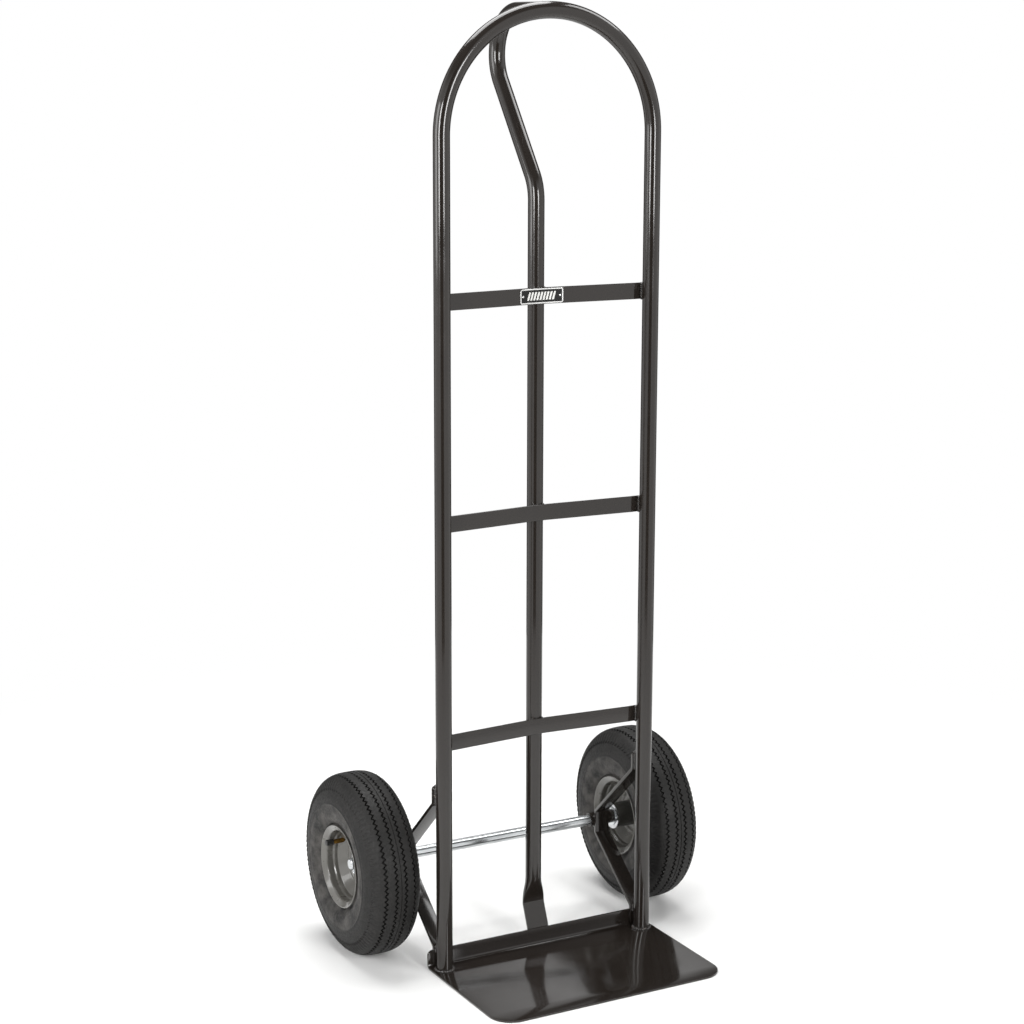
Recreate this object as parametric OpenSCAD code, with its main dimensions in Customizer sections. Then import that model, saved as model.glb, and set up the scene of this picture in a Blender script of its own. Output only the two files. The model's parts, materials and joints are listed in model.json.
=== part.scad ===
// Hand truck: looped tube frame, P-shaped handle, bent toe plate and two
// pneumatic wheels on a fixed axle.
// Origin: underside of the toe plate, midway between the uprights, in the
// plane of their centre lines. +X right, +Y back to the wheels, +Z up.

/* [Frame] */
// Height from the floor to the top of the loop
frame_h = 1294; // [1000:1:1600]
// Distance between the centre lines of the uprights
upright_cc = 315; // [240:1:420]
// Outside diameter of the frame and handle tube
tube_od = 22.2; // [18:0.1:28]
// Wall of the frame and handle tube
tube_wall = 1.5; // [1:0.1:3]

/* [Crossbars] */
// Height of the top crossbar's upper edge
bar_top_z = 924.5; // [760:0.5:1100]
// Height of the middle crossbar's upper edge
bar_middle_z = 631; // [480:0.5:740]
// Height of the bottom crossbar's upper edge
bar_bottom_z = 330.5; // [290:0.5:440]
// Height of a crossbar's flat
bar_h = 22; // [16:0.5:30]
// Thickness of a crossbar
bar_thk = 3; // [2:0.1:5]
// Length of a crossbar's straight end tab
bar_tab = 22; // [12:0.5:40]
// Half-width of the flat at the middle of a crossbar
bar_flat = 11; // [6:0.5:20]

/* [Handle strut] */
// Distance from the uprights' plane back to the strut's centre line
strut_y = 35; // [30:0.5:60]
// Distance from the uprights' plane back to the grip's furthest centre line
grip_reach = 144.5; // [130:0.5:180]
// Centre line radius of both bends in the strut
grip_bend_r = 58; // [40:0.5:70]
// Slope of the grip, measured from the vertical
grip_slope = 36.25; // [25:0.25:50]
// Width of the strut's flattened foot
foot_w = 33; // [26:0.5:36]
// Height where the strut starts to flatten
foot_round_z = 95; // [85:0.5:120]
// Height of the kink where the flattened foot turns forwards
foot_kink_z = 58; // [45:0.5:70]
// Height of the flattened foot's lower end behind the toe flange
foot_end_z = 9; // [6:0.5:14]

/* [Toe plate] */
// Sheet thickness of the toe plate
plate_thk = 3; // [2:0.1:5]
// Distance from the uprights' plane forwards to the plate's front edge
toe_reach = 193; // [120:1:300]
// Width of plate beyond the outside of each upright
toe_overhang = 6.4; // [2:0.1:10]
// Height of the rear flange
flange_h = 26; // [18:0.5:40]
// Radius of the plate's front corners
toe_corner_r = 32; // [5:1:60]
// Radius of the flange's upper corners
flange_corner_r = 7; // [2:0.5:12]
// Inside radius of the bend between plate and flange
toe_bend_r = 4.5; // [2:0.1:4.7]

/* [Name plate] */
// Width of the name plate
badge_w = 65; // [40:1:90]
// Height of the name plate
badge_h = 20; // [12:0.5:21]
// Thickness of the name plate
badge_thk = 1.2; // [0.6:0.1:2]
// Corner radius of the name plate
badge_corner_r = 3; // [1:0.1:6]

/* [Axle and brackets] */
// Distance from the uprights' plane back to the axle
axle_y = 125; // [100:1:160]
// Diameter of the axle
axle_d = 15.9; // [12:0.1:20]
// Length of axle beyond the outer washer
axle_tail = 8.5; // [6:0.1:20]
// Chamfer at the ends of the axle
axle_chamfer = 1.2; // [0.5:0.1:2]
// Diameter of the cotter pin holes
cotter_hole_d = 3.6; // [3:0.1:5]
// Width of the axle bracket straps
strap_w = 22; // [16:0.5:30]
// Thickness of the axle bracket straps
strap_thk = 4.8; // [4.8:0.1:6]
// Height above the axle where the strap's upright stretch ends
strap_rise = 17; // [12:0.5:30]
// Depth below the axle where the strap's upright stretch ends
strap_drop = 16; // [12:0.5:30]
// Height above the axle where the strap meets the upright
strap_meet = 110; // [80:1:150]
// Length of the tab welded to the upright above that
strap_tab = 25; // [15:1:50]
// Height of the strap's lower kink at the upright
strap_low_z = 33; // [30:0.5:45]
// Wall of the axle sleeves
sleeve_wall = 1.9; // [1.2:0.1:4]
// Sleeve length inboard of the upright's centre line
sleeve_in = 14.5; // [12:0.5:30]
// Sleeve length outboard of the upright's centre line
sleeve_out = 22.5; // [18:0.5:30]
// Thickness of the washers
washer_thk = 1.6; // [1:0.1:3]
// Outside diameter of the washers
washer_od = 27; // [24:0.5:32]

/* [Wheels] */
// Outside diameter of the tyres
tyre_od = 254; // [200:1:320]
// Width of the tyres
tyre_w = 83.6; // [70:0.2:105]
// Gap between the outside of an upright and the tyre
tyre_gap = 11.9; // [10:0.1:30]
// Thickness of the tyre at the sidewall
tyre_wall = 4.5; // [3:0.1:7]
// Thickness of the tyre under the tread
tread_thk = 8; // [5:0.5:12]
// Depth of the tread grooves
groove_depth = 3; // [1:0.1:5]
// Width of the tread grooves
groove_w = 2.6; // [1:0.1:5]
// Diameter of the rim's bead seats
rim_seat_d = 101.6; // [95:0.1:120]
// Width of the rim over its lips
rim_w = 72.8; // [60:0.2:74]
// Height of the rim lips above the bead seats
rim_lip = 7.6; // [5:0.1:10]
// Sheet thickness of the rim halves
rim_thk = 1.8; // [1.2:0.1:2.5]
// Wall of the hub tube
hub_wall = 1.6; // [1.2:0.1:3]
// Length of hub outboard of the wheel's centre plane
hub_nose = 6.7; // [4:0.1:20]

/* [Bearings] */
// Width of a bearing inside the hub
bearing_w = 9.5; // [8:0.1:12]
// Thickness of the bearing's flange
flange_thk = 1.5; // [1:0.1:3]
// Flange radius beyond the outside of the hub
flange_lip = 0.7; // [0.4:0.1:3]
// Radial thickness of the inner ring
inner_ring_t = 2.7; // [2:0.1:4]
// Radial thickness of the outer ring
outer_ring_t = 2.8; // [2:0.1:4]
// Depth of the ball grooves
race_depth = 0.9; // [0.5:0.05:1.2]
// Diameter of the balls
ball_d = 4.76; // [4:0.01:6]
// Number of balls in a bearing
ball_count = 9; // [6:1:10]

/* [Valve] */
// Angle of the valve above the rearward direction
valve_angle = 36; // [0:1:360]
// Diameter of the valve stem
stem_d = 6.4; // [5:0.1:7]
// Distance of the valve hole outboard of the wheel's centre plane
stem_z = 10.5; // [9:0.1:14]
// Clearance round the stem in the rim's valve hole
valve_hole_gap = 0.6; // [0.3:0.1:1.5]
// Radius of the bend in the stem
stem_bend_r = 5; // [4:0.1:8]
// Distance of the stem's outer run from the axle
stem_r = 41; // [38:0.5:42]
// Diameter of the valve cap
cap_d = 8.4; // [7:0.1:10]
// Length of the valve cap
cap_l = 11; // [8:0.5:14]
// Distance of the cap's mouth outboard of the wheel's centre plane
cap_z = 28.5; // [24:0.5:32]

/* [Fits] */
// Radial clearance of the axle in sleeves and bearings
axle_fit = 0.05; // [0.02:0.01:0.1]
// Radial clearance of the washers on the axle
washer_fit = 0.2; // [0.1:0.05:0.5]
// Radial clearance of the balls in their grooves
ball_fit = 0.08; // [0.02:0.01:0.1]
// Gap between turning and fixed end faces
end_play = 0.3; // [0.2:0.05:1]
// Gap between the tyre's beads and the rim
bead_fit = 0.1; // [0.05:0.05:0.3]
// Gap between the inner tube and the tyre
tube_gap = 0.6; // [0.3:0.1:2]

/* [Hidden] */
$fn = 96;
arc_steps = 8;
far = 2000;

// Frame
tube_r = tube_od / 2;
upright_x = upright_cc / 2;
loop_z = frame_h - tube_r - upright_x;
run_z = frame_h - tube_r;
bar_end_x = upright_x + 2.5;
bar_end_y = tube_r + bar_thk / 2;
bar_mid_y = strut_y - tube_r - bar_thk / 2;

// Handle strut: the grip's two bends
grip_c = [grip_reach - grip_bend_r, run_z - grip_bend_r];
slope_dir = [sin(grip_slope), cos(grip_slope)];
slope_top = grip_c + grip_bend_r * [cos(grip_slope), -sin(grip_slope)];
slope_foot_z = slope_top.y - (slope_top.x - strut_y) / tan(grip_slope);
bend_run = grip_bend_r * tan(grip_slope / 2);
slope_start = [strut_y, slope_foot_z] + bend_run * slope_dir;
foot_thk = 2 * tube_wall + 0.2;
die_mark = 0.2;
die_mark_l = 1.2;

// Toe plate
flange_y = tube_r + strap_thk + plate_thk / 2;
flange_back = flange_y + plate_thk / 2;
toe_x = upright_x + tube_r + toe_overhang;

// Axle line, from the uprights outwards
axle_z = tyre_od / 2;
axle_r = axle_d / 2;
sleeve_r = axle_r + axle_fit + sleeve_wall;
strap_y = axle_y - sleeve_r - strap_thk / 2;
sleeve_end = upright_x + sleeve_out;
wheel_x = upright_x + tube_r + tyre_gap + tyre_w / 2;
ring_face_in = sleeve_end + washer_thk;
hub_in_x = ring_face_in + end_play + flange_thk;
hub_out_x = wheel_x + hub_nose;
ring_face_out = hub_out_x + flange_thk + end_play;
washer_out_x = ring_face_out + washer_thk;
axle_end = washer_out_x + axle_tail;
cotter_x = washer_out_x + cotter_hole_d / 2 + 1;

// Bearing radii, from the axle outwards
ring_bore_r = axle_r + axle_fit;
inner_land_r = ring_bore_r + inner_ring_t;
inner_race_r = inner_land_r - race_depth;
ball_r = ball_d / 2;
pitch_r = inner_race_r + ball_fit + ball_r;
outer_race_r = pitch_r + ball_r + ball_fit;
outer_land_r = outer_race_r - race_depth;
bearing_r = outer_land_r + outer_ring_t;
hub_r = bearing_r + hub_wall;
ball_z = (flange_thk - bearing_w) / 2;
cage_t = 1.6;
cage_l = ball_d + 1.6;
shield_thk = 0.6;
shield_gap = 0.4;

// Wheel profile
tyre_r = tyre_od / 2;
seat_r = rim_seat_d / 2;
lip_r = seat_r + rim_lip;
lip_z = rim_w / 2;
rim_mid_r = seat_r - rim_thk / 2;
bulge_r = lip_r + 24;
bead_in_z = lip_z - 13;
side_power = 3.3;
side_base_r = lip_r + 1.6;
side_fall = 10;
cotter_wire = cotter_hole_d / 2 - 0.25;
stem_core_d = stem_d - 1.6;
cap_fit = 0.1;

function unit(v) = v / norm(v);
function left_of(v) = [-v.y, v.x];
function turned(v, a) = [v.x * cos(a) - v.y * sin(a), v.x * sin(a) + v.y * cos(a)];
function reversed(list) = [for (i = [len(list) - 1 : -1 : 0]) list[i]];
function mirrored(list) = [for (p = reversed(list)) [p.x, -p.y]];

// Arc of radius r that replaces the corner b of the path a, b, c
function corner(a, b, c, r) =
    let(u = unit(b - a), v = unit(c - b),
        turn = atan2(u.x * v.y - u.y * v.x, u * v),
        start = b - r * tan(abs(turn) / 2) * u,
        centre = start + sign(turn) * r * left_of(u))
    [for (k = [0 : arc_steps])
        centre - sign(turn) * r * turned(left_of(u), turn * k / arc_steps)];

// The path with every inner corner rounded to radius r
function rounded(path, r) = [path[0],
    for (i = [1 : len(path) - 2]) each corner(path[i - 1], path[i], path[i + 1], r),
    path[len(path) - 1]];

// The path moved sideways by d, to its left where d is positive
function beside(path, d) = [for (i = [0 : len(path) - 1])
    let(j = max(i, 1), k = min(i + 1, len(path) - 1),
        n = left_of(unit(path[j] - path[j - 1])),
        m = unit(n + left_of(unit(path[k] - path[k - 1]))))
    path[i] + m * d / (m * n)];

// Flat strip of thickness t along a path
module strip(path, t) {
    polygon(concat(beside(path, t / 2), reversed(beside(path, -t / 2))));
}

// Local x, y, z become Y, Z, X
module side_view() {
    rotate([90, 0, 90]) children();
}

// Local x, y, z become X, Z, -Y
module front_view() {
    rotate([90, 0, 0]) children();
}

module on_side(side) {
    mirror([side < 0 ? 1 : 0, 0, 0]) children();
}

// Rectangle from lo to hi whose upper corners have radius r
module arched(lo, hi, r) {
    translate(lo) square([hi.x - lo.x, hi.y - lo.y - r]);
    translate([lo.x + r, lo.y]) square([hi.x - lo.x - 2 * r, hi.y - lo.y]);
    for (x = [lo.x + r, hi.x - r])
        translate([x, hi.y - r]) circle(r);
}

// Middle of a rim half's sheet, from the lip down to the hub
rim_path = rounded([[lip_r - rim_thk / 2, lip_z - rim_thk / 2], [rim_mid_r, lip_z - 5.5],
    [rim_mid_r - 0.4, lip_z - 14], [rim_mid_r - 2.2, lip_z - 16.2], [rim_mid_r - 2.8, lip_z - 20.4],
    [rim_mid_r - 14, 4], [hub_r + 6, rim_thk / 2], [hub_r, rim_thk / 2]], 3);

module ring_x(x0, x1, r_in, r_out) {
    side_view() translate([axle_y, axle_z, x0]) difference() {
        cylinder(r = r_out, h = x1 - x0);
        translate([0, 0, -1]) cylinder(r = r_in, h = x1 - x0 + 2);
    }
}

// ---- Frame ----

module loop_solid(d) {
    for (side = [-1, 1])
        translate([side * upright_x, 0, plate_thk]) cylinder(d = d, h = loop_z - plate_thk);
    translate([0, 0, loop_z]) front_view()
        rotate_extrude(angle = 180) translate([upright_x, 0]) circle(d = d);
}

module frame_loop() {
    color("#26221f") difference() {
        loop_solid(tube_od);
        loop_solid(tube_od - 2 * tube_wall);
    }
}

// Straight tube of length l along local z, with the ring that the bending
// die leaves where a bend starts
module run(d, l) {
    cylinder(d = d, h = l);
    translate([0, 0, l - die_mark_l / 2]) cylinder(d = d + 2 * die_mark, h = die_mark_l);
}

module bend(angle, d) {
    rotate_extrude(angle = angle) translate([grip_bend_r, 0]) circle(d = d);
}

// The sloping grip with a bend at each end, and a straight run on to each bend
module strut_solid(d) {
    grip_run = norm(slope_top - slope_start);
    translate([0, strut_y, foot_round_z]) run(d, slope_foot_z - bend_run - foot_round_z);
    side_view() translate(slope_start) rotate(-grip_slope) {
        rotate([-90, 0, 0]) cylinder(d = d, h = grip_run);
        translate([grip_bend_r, 0]) rotate(180) bend(grip_slope, d);
        translate([-grip_bend_r, grip_run]) bend(90 + grip_slope, d);
    }
    translate([0, tube_r / 2, run_z]) rotate([-90, 0, 0]) run(d, grip_c.x - tube_r / 2);
}

module strut_foot() {
    path = rounded([[strut_y, foot_kink_z + 2], [strut_y, foot_kink_z],
        [flange_back + foot_thk / 2, flange_h - 2], [flange_back + foot_thk / 2, foot_end_z]], 2);
    hull() {
        translate([0, strut_y, foot_round_z - 1]) cylinder(d = tube_od, h = 1, $fn = 48);
        translate([-foot_w / 2, strut_y - foot_thk / 2, foot_kink_z + 1])
            cube([foot_w, foot_thk, 1]);
    }
    translate([-foot_w / 2, 0, 0]) side_view() linear_extrude(foot_w) strip(path, foot_thk);
}

module handle_strut() {
    color("#26221f") {
        difference() {
            strut_solid(tube_od);
            strut_solid(tube_od - 2 * tube_wall);
            loop_solid(tube_od);
        }
        strut_foot();
    }
}

bar_path = rounded([[-bar_end_x, bar_end_y], [-(bar_end_x - bar_tab), bar_end_y],
    [-bar_flat, bar_mid_y], [bar_flat, bar_mid_y],
    [bar_end_x - bar_tab, bar_end_y], [bar_end_x, bar_end_y]], 12);

module crossbar(z_top) {
    color("#26221f") translate([0, 0, z_top - bar_h]) linear_extrude(bar_h) strip(bar_path, bar_thk);
}

module name_plate() {
    z_mid = bar_top_z - bar_h / 2;
    color("#c8c8c6") intersection() {
        translate([0, 0, z_mid - badge_h]) linear_extrude(2 * badge_h)
            strip(beside(bar_path, -(bar_thk + badge_thk) / 2), badge_thk);
        translate([0, far / 2, z_mid]) front_view() linear_extrude(far) {
            arched([-badge_w / 2, 0], [badge_w / 2, badge_h / 2], badge_corner_r);
            mirror([0, 1]) arched([-badge_w / 2, 0], [badge_w / 2, badge_h / 2], badge_corner_r);
        }
    }
}

module toe_plate() {
    path = rounded([[-toe_reach, plate_thk / 2], [flange_y, plate_thk / 2], [flange_y, flange_h]],
        toe_bend_r + plate_thk / 2);
    color("#26221f") intersection() {
        translate([-toe_x, 0, 0]) side_view() linear_extrude(2 * toe_x) strip(path, plate_thk);
        rotate([0, 0, 180]) linear_extrude(2 * flange_h)
            arched([-toe_x, -flange_back - 1], [toe_x, toe_reach], toe_corner_r);
        translate([0, far / 2, 0]) front_view() linear_extrude(far)
            arched([-toe_x, 0], [toe_x, flange_h], flange_corner_r);
    }
}

// ---- Axle, brackets and fixings ----

module axle_bracket(side) {
    tab_y = tube_r + strap_thk / 2;
    top_z = axle_z + strap_meet + strap_tab;
    path = rounded([[tab_y, plate_thk + toe_bend_r + 0.5], [tab_y, strap_low_z],
        [strap_y, axle_z - strap_drop], [strap_y, axle_z + strap_rise],
        [tab_y, axle_z + strap_meet], [tab_y, top_z]], strap_thk);
    color("#26221f") on_side(side) translate([upright_x - strap_w / 2, 0, 0]) intersection() {
        side_view() linear_extrude(strap_w) strip(path, strap_thk);
        translate([0, far / 2, 0]) front_view() linear_extrude(far)
            arched([0, 0], [strap_w, top_z], strap_thk);
    }
}

module axle_sleeve(side) {
    color("#26221f") on_side(side)
        ring_x(upright_x - sleeve_in, sleeve_end, axle_r + axle_fit, sleeve_r);
}

module axle() {
    color("#c9cbcf") side_view() translate([axle_y, axle_z, 0]) difference() {
        union() {
            translate([0, 0, axle_chamfer - axle_end])
                cylinder(r = axle_r, h = 2 * (axle_end - axle_chamfer));
            for (flip = [0, 1]) mirror([0, 0, flip]) translate([0, 0, axle_end - axle_chamfer])
                cylinder(r1 = axle_r, r2 = axle_r - axle_chamfer, h = axle_chamfer);
        }
        for (side = [-1, 1])
            translate([0, -axle_d, side * cotter_x]) rotate([-90, 0, 0])
                cylinder(d = cotter_hole_d, h = 2 * axle_d);
    }
}

module washer_inner(side) {
    color("#c9cbcf") on_side(side)
        ring_x(sleeve_end, ring_face_in, axle_r + washer_fit, washer_od / 2);
}

module washer_outer(side) {
    color("#c9cbcf") on_side(side)
        ring_x(ring_face_out, washer_out_x, axle_r + washer_fit, washer_od / 2);
}

// Split pin: an eye above the axle and two legs, spread below it
module cotter_pin(side) {
    eye_r = cotter_hole_d - cotter_wire / 2;
    leg_x = cotter_wire / 2 + 0.05;
    eye_drop = sqrt(eye_r * eye_r - leg_x * leg_x);
    leg_l = 2 * axle_r + 3;
    spread_r = 4;
    color("#d4d5d8") on_side(side)
        translate([cotter_x, axle_y, axle_z + axle_r + 1]) side_view() {
            translate([0, eye_drop, 0]) rotate(asin(leg_x / eye_r) - 90)
                rotate_extrude(angle = 360 - 2 * asin(leg_x / eye_r))
                    translate([eye_r, 0]) circle(d = cotter_wire);
            for (flip = [0, 1]) mirror([flip, 0, 0]) {
                translate([leg_x, -leg_l, 0]) rotate([-90, 0, 0])
                    cylinder(d = cotter_wire, h = leg_l);
                translate([leg_x + spread_r, -leg_l, 0]) rotate(180)
                    rotate_extrude(angle = 60) translate([spread_r, 0]) circle(d = cotter_wire);
            }
        }
}

// ---- Bearings ----

// Places its children at both ends of a hub, local z pointing out of the hub
module at_hub_ends(side) {
    on_side(side) side_view() translate([axle_y, axle_z, 0]) {
        translate([0, 0, hub_out_x]) children();
        translate([0, 0, hub_in_x]) mirror([0, 0, 1]) children();
    }
}

module race() {
    translate([pitch_r, ball_z]) circle(r = ball_r + ball_fit);
}

module bearing_inner_rings(side) {
    color("#b9bbbe") at_hub_ends(side) rotate_extrude() difference() {
        translate([ring_bore_r, -bearing_w])
            square([inner_ring_t, bearing_w + flange_thk + end_play]);
        race();
    }
}

module bearing_outer_rings(side) {
    color("#d4d5d8") at_hub_ends(side) rotate_extrude() difference() {
        union() {
            translate([outer_land_r, -bearing_w])
                square([outer_ring_t, bearing_w + flange_thk]);
            translate([outer_land_r, 0]) square([hub_r + flange_lip - outer_land_r, flange_thk]);
        }
        race();
    }
}

module bearing_shields(side) {
    color("#b9bbbe") at_hub_ends(side)
        for (z = [-bearing_w, flange_thk - shield_thk])
            translate([0, 0, z]) rotate_extrude() translate([inner_land_r + shield_gap, 0])
                square([outer_land_r - inner_land_r - shield_gap, shield_thk]);
}

module bearing_balls(side) {
    color("#d4d5d8") at_hub_ends(side)
        for (i = [0 : ball_count - 1])
            rotate(i * 360 / ball_count) translate([pitch_r, 0, ball_z]) sphere(ball_r);
}

module bearing_cages(side) {
    color("#8f9294") at_hub_ends(side) difference() {
        translate([0, 0, ball_z - cage_l / 2]) rotate_extrude()
            translate([pitch_r - cage_t / 2, 0]) square([cage_t, cage_l]);
        for (i = [0 : ball_count - 1])
            rotate(i * 360 / ball_count) translate([0, 0, ball_z]) rotate([0, 90, 0])
                cylinder(r = ball_r + ball_fit, h = bearing_r);
    }
}

// ---- Wheels ----

// Local z points outboard from the wheel's centre plane
module at_wheel(side) {
    on_side(side) side_view() translate([axle_y, axle_z, wheel_x]) children();
}

module hub(side) {
    color("#3b3a38") on_side(side) ring_x(hub_in_x, hub_out_x, bearing_r, hub_r);
}

// One pressed rim half: lip, bead seat and a bowl that runs down to the hub
module rim_half() {
    rotate_extrude() strip(rim_path, rim_thk);
}

module rim_outer(side) {
    color("#8b8982") at_wheel(side) difference() {
        rim_half();
        rotate(valve_angle) stem_run(stem_d + 2 * valve_hole_gap);
    }
}

module rim_inner(side) {
    color("#8b8982") at_wheel(side) mirror([0, 0, 1]) rim_half();
}

// Half-width of the tyre at radius r: a round shoulder above the bulge, and a
// sidewall that falls away below it to a groove round the rim lip
function tyre_half(r) = r > bulge_r
    ? tyre_w / 2 * pow(1 - pow((r - side_base_r) / (tyre_r - side_base_r), side_power), 1 / side_power)
    : tyre_half(bulge_r + 0.01) - side_fall * pow((bulge_r - r) / (bulge_r - lip_r), 2);

// Radii at which the tyre's outline has its points, closer towards the tread
function tyre_radii(lo, hi, n) = [for (i = [0 : n]) lo + (hi - lo) * sin(90 * i / n)];

module tyre_section() {
    seat = beside(rim_path, rim_thk / 2 + bead_fit);
    half = concat([[seat_r + bead_fit, bead_in_z]],
        [for (i = [arc_steps + 1 : -1 : 1]) seat[i]], [0.75 * seat[0] + 0.25 * seat[1]],
        [for (r = tyre_radii(lip_r + 1, tyre_r - 0.02, 22)) [r, tyre_half(r)]]);
    polygon(concat(mirrored(half), half));
}

module tyre_cavity(gap, r0) {
    cav_r = tyre_r - tread_thk;
    half = [for (r = tyre_radii(r0, cav_r - gap - 0.02, 24))
        [r, (tyre_w / 2 - tyre_wall - gap)
            * pow(1 - pow(max(0, r - bulge_r + gap) / (cav_r - bulge_r), 2.6), 1 / 2.6)
            - max(0, bulge_r - r) * 0.36]];
    polygon(concat(mirrored(half), half));
}

module tyre(side) {
    color("#3a3937") at_wheel(side) rotate_extrude() difference() {
        tyre_section();
        tyre_cavity(0, lip_r);
        translate([seat_r - 1, 2 - bead_in_z]) square([rim_lip + 5, 2 * bead_in_z - 4]);
        for (z = [-0.23, -0.08, 0.08, 0.23])
            translate([tyre_half_radius(z * tyre_w) - groove_depth, z * tyre_w - groove_w / 2])
                square([far, groove_w]);
    }
}

// Radius of the tyre's surface at a distance z from its centre plane
function tyre_half_radius(z) = side_base_r
    + (tyre_r - side_base_r) * pow(1 - pow(abs(z) / (tyre_w / 2), side_power), 1 / side_power);

module inner_tube(side) {
    color("#222222") at_wheel(side) rotate_extrude() difference() {
        tyre_cavity(tube_gap, lip_r + 5);
        tyre_cavity(tube_gap + 1.8, lip_r + 7);
    }
}

module stem_run(d) {
    translate([stem_r + stem_bend_r, 0, stem_z]) rotate([0, 90, 0])
        cylinder(d = d, h = lip_r + 5 - stem_r - stem_bend_r);
    translate([stem_r + stem_bend_r, 0, stem_z + stem_bend_r]) rotate([90, 0, 0]) rotate(180)
        rotate_extrude(angle = 90) translate([stem_bend_r, 0]) circle(d = d);
}

module valve_stem(side) {
    color("#8a6a3a") at_wheel(side) rotate(valve_angle) {
        stem_run(stem_d);
        translate([stem_r, 0, stem_z + stem_bend_r])
            cylinder(d = stem_d, h = cap_z - stem_z - stem_bend_r);
        translate([stem_r, 0, cap_z]) cylinder(d = stem_core_d, h = cap_l - 3);
    }
}

module valve_cap(side) {
    color("#1c1c1c") at_wheel(side) rotate(valve_angle) translate([stem_r, 0, cap_z])
        difference() {
            union() {
                cylinder(d = cap_d, h = cap_l - 1);
                translate([0, 0, cap_l - 1]) cylinder(d1 = cap_d, d2 = cap_d - 2, h = 1);
            }
            translate([0, 0, -1]) cylinder(d = stem_core_d + 2 * cap_fit, h = cap_l - 1.5);
        }
}

frame_loop();
handle_strut();
crossbar(bar_top_z);  // crossbar_top
crossbar(bar_middle_z);  // crossbar_middle
crossbar(bar_bottom_z);  // crossbar_bottom
name_plate();
toe_plate();
axle_bracket(-1);  // axle_bracket_left
axle_bracket(1);  // axle_bracket_right
axle_sleeve(-1);  // axle_sleeve_left
axle_sleeve(1);  // axle_sleeve_right
axle();
washer_inner(-1);  // washer_inner_left
washer_inner(1);  // washer_inner_right
washer_outer(-1);  // washer_outer_left
washer_outer(1);  // washer_outer_right
cotter_pin(-1);  // cotter_pin_left
cotter_pin(1);  // cotter_pin_right
bearing_inner_rings(-1);  // bearing_inner_rings_left
bearing_inner_rings(1);  // bearing_inner_rings_right
bearing_balls(-1);  // bearing_balls_left
bearing_balls(1);  // bearing_balls_right
bearing_cages(-1);  // bearing_cages_left
bearing_cages(1);  // bearing_cages_right
bearing_outer_rings(-1);  // bearing_outer_rings_left
bearing_outer_rings(1);  // bearing_outer_rings_right
bearing_shields(-1);  // bearing_shields_left
bearing_shields(1);  // bearing_shields_right
hub(-1);  // hub_left
hub(1);  // hub_right
rim_outer(-1);  // rim_outer_left
rim_outer(1);  // rim_outer_right
rim_inner(-1);  // rim_inner_left
rim_inner(1);  // rim_inner_right
tyre(-1);  // tyre_left
tyre(1);  // tyre_right
inner_tube(-1);  // inner_tube_left
inner_tube(1);  // inner_tube_right
valve_stem(-1);  // valve_stem_left
valve_stem(1);  // valve_stem_right
valve_cap(-1);  // valve_cap_left
valve_cap(1);  // valve_cap_right
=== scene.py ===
"""Hand truck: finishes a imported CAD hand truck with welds, tread, pressed rims and paint."""

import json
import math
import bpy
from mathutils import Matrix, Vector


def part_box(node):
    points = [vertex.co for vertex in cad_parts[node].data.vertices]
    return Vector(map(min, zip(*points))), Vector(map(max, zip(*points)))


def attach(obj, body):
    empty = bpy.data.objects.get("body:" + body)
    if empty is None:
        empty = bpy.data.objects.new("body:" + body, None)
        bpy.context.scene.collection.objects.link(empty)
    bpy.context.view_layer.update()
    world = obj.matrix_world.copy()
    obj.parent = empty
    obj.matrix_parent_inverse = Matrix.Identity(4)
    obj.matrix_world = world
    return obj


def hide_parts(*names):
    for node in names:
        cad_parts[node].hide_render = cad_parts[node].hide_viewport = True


bl_info = {
    "name": "Hand Truck",
    "version": (1, 0, 0),
    "blender": (4, 5, 0),
    "location": "View3D > Sidebar > Hand Truck",
    "description": "Builds the visible skin of a looped-frame hand truck around its CAD model",
    "category": "Object",
}

import bmesh
import bpy
from mathutils import Matrix, Vector

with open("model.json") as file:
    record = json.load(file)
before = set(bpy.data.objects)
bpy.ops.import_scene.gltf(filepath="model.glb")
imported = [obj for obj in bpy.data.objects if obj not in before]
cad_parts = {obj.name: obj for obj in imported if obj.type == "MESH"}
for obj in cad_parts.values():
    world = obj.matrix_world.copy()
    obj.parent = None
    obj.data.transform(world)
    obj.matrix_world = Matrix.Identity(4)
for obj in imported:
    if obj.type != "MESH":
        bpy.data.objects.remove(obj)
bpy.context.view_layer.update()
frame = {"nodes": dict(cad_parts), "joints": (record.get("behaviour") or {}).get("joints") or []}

MM = 0.001

# ---- Places that come from the frame ----

LOOP_LO, LOOP_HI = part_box("frame_loop")
TUBE_R = LOOP_HI.y
UPRIGHT_X = LOOP_HI.x - TUBE_R
RUN_Z = LOOP_HI.z - TUBE_R
LOOP_Z = RUN_Z - UPRIGHT_X
PLATE_TOP = LOOP_LO.z

STRUT_LO, STRUT_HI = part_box("handle_strut")
BAR_BACK_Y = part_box("crossbar_top")[1].y
STRUT_Y = BAR_BACK_Y + TUBE_R
FOOT_HALF_W = STRUT_HI.x
FLANGE_BACK_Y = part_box("toe_plate")[1].y
FLANGE_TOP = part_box("toe_plate")[1].z

JOINTS = {joint["name"]: Vector(joint["pos_m"]) for joint in frame["joints"]}
AXLE_Y = JOINTS["wheel_left_spin"].y
AXLE_Z = JOINTS["wheel_left_spin"].z
WHEEL_X = JOINTS["wheel_right_spin"].x
TYRE_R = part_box("tyre_right")[1].z - AXLE_Z
TYRE_HALF_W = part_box("tyre_right")[1].x - WHEEL_X
RIM_LIP_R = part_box("rim_outer_right")[1].z - AXLE_Z
RIM_LIP_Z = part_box("rim_outer_right")[1].x - WHEEL_X
HUB_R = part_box("hub_right")[1].z - AXLE_Z
SIDES = {"left": -1, "right": 1}

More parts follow.
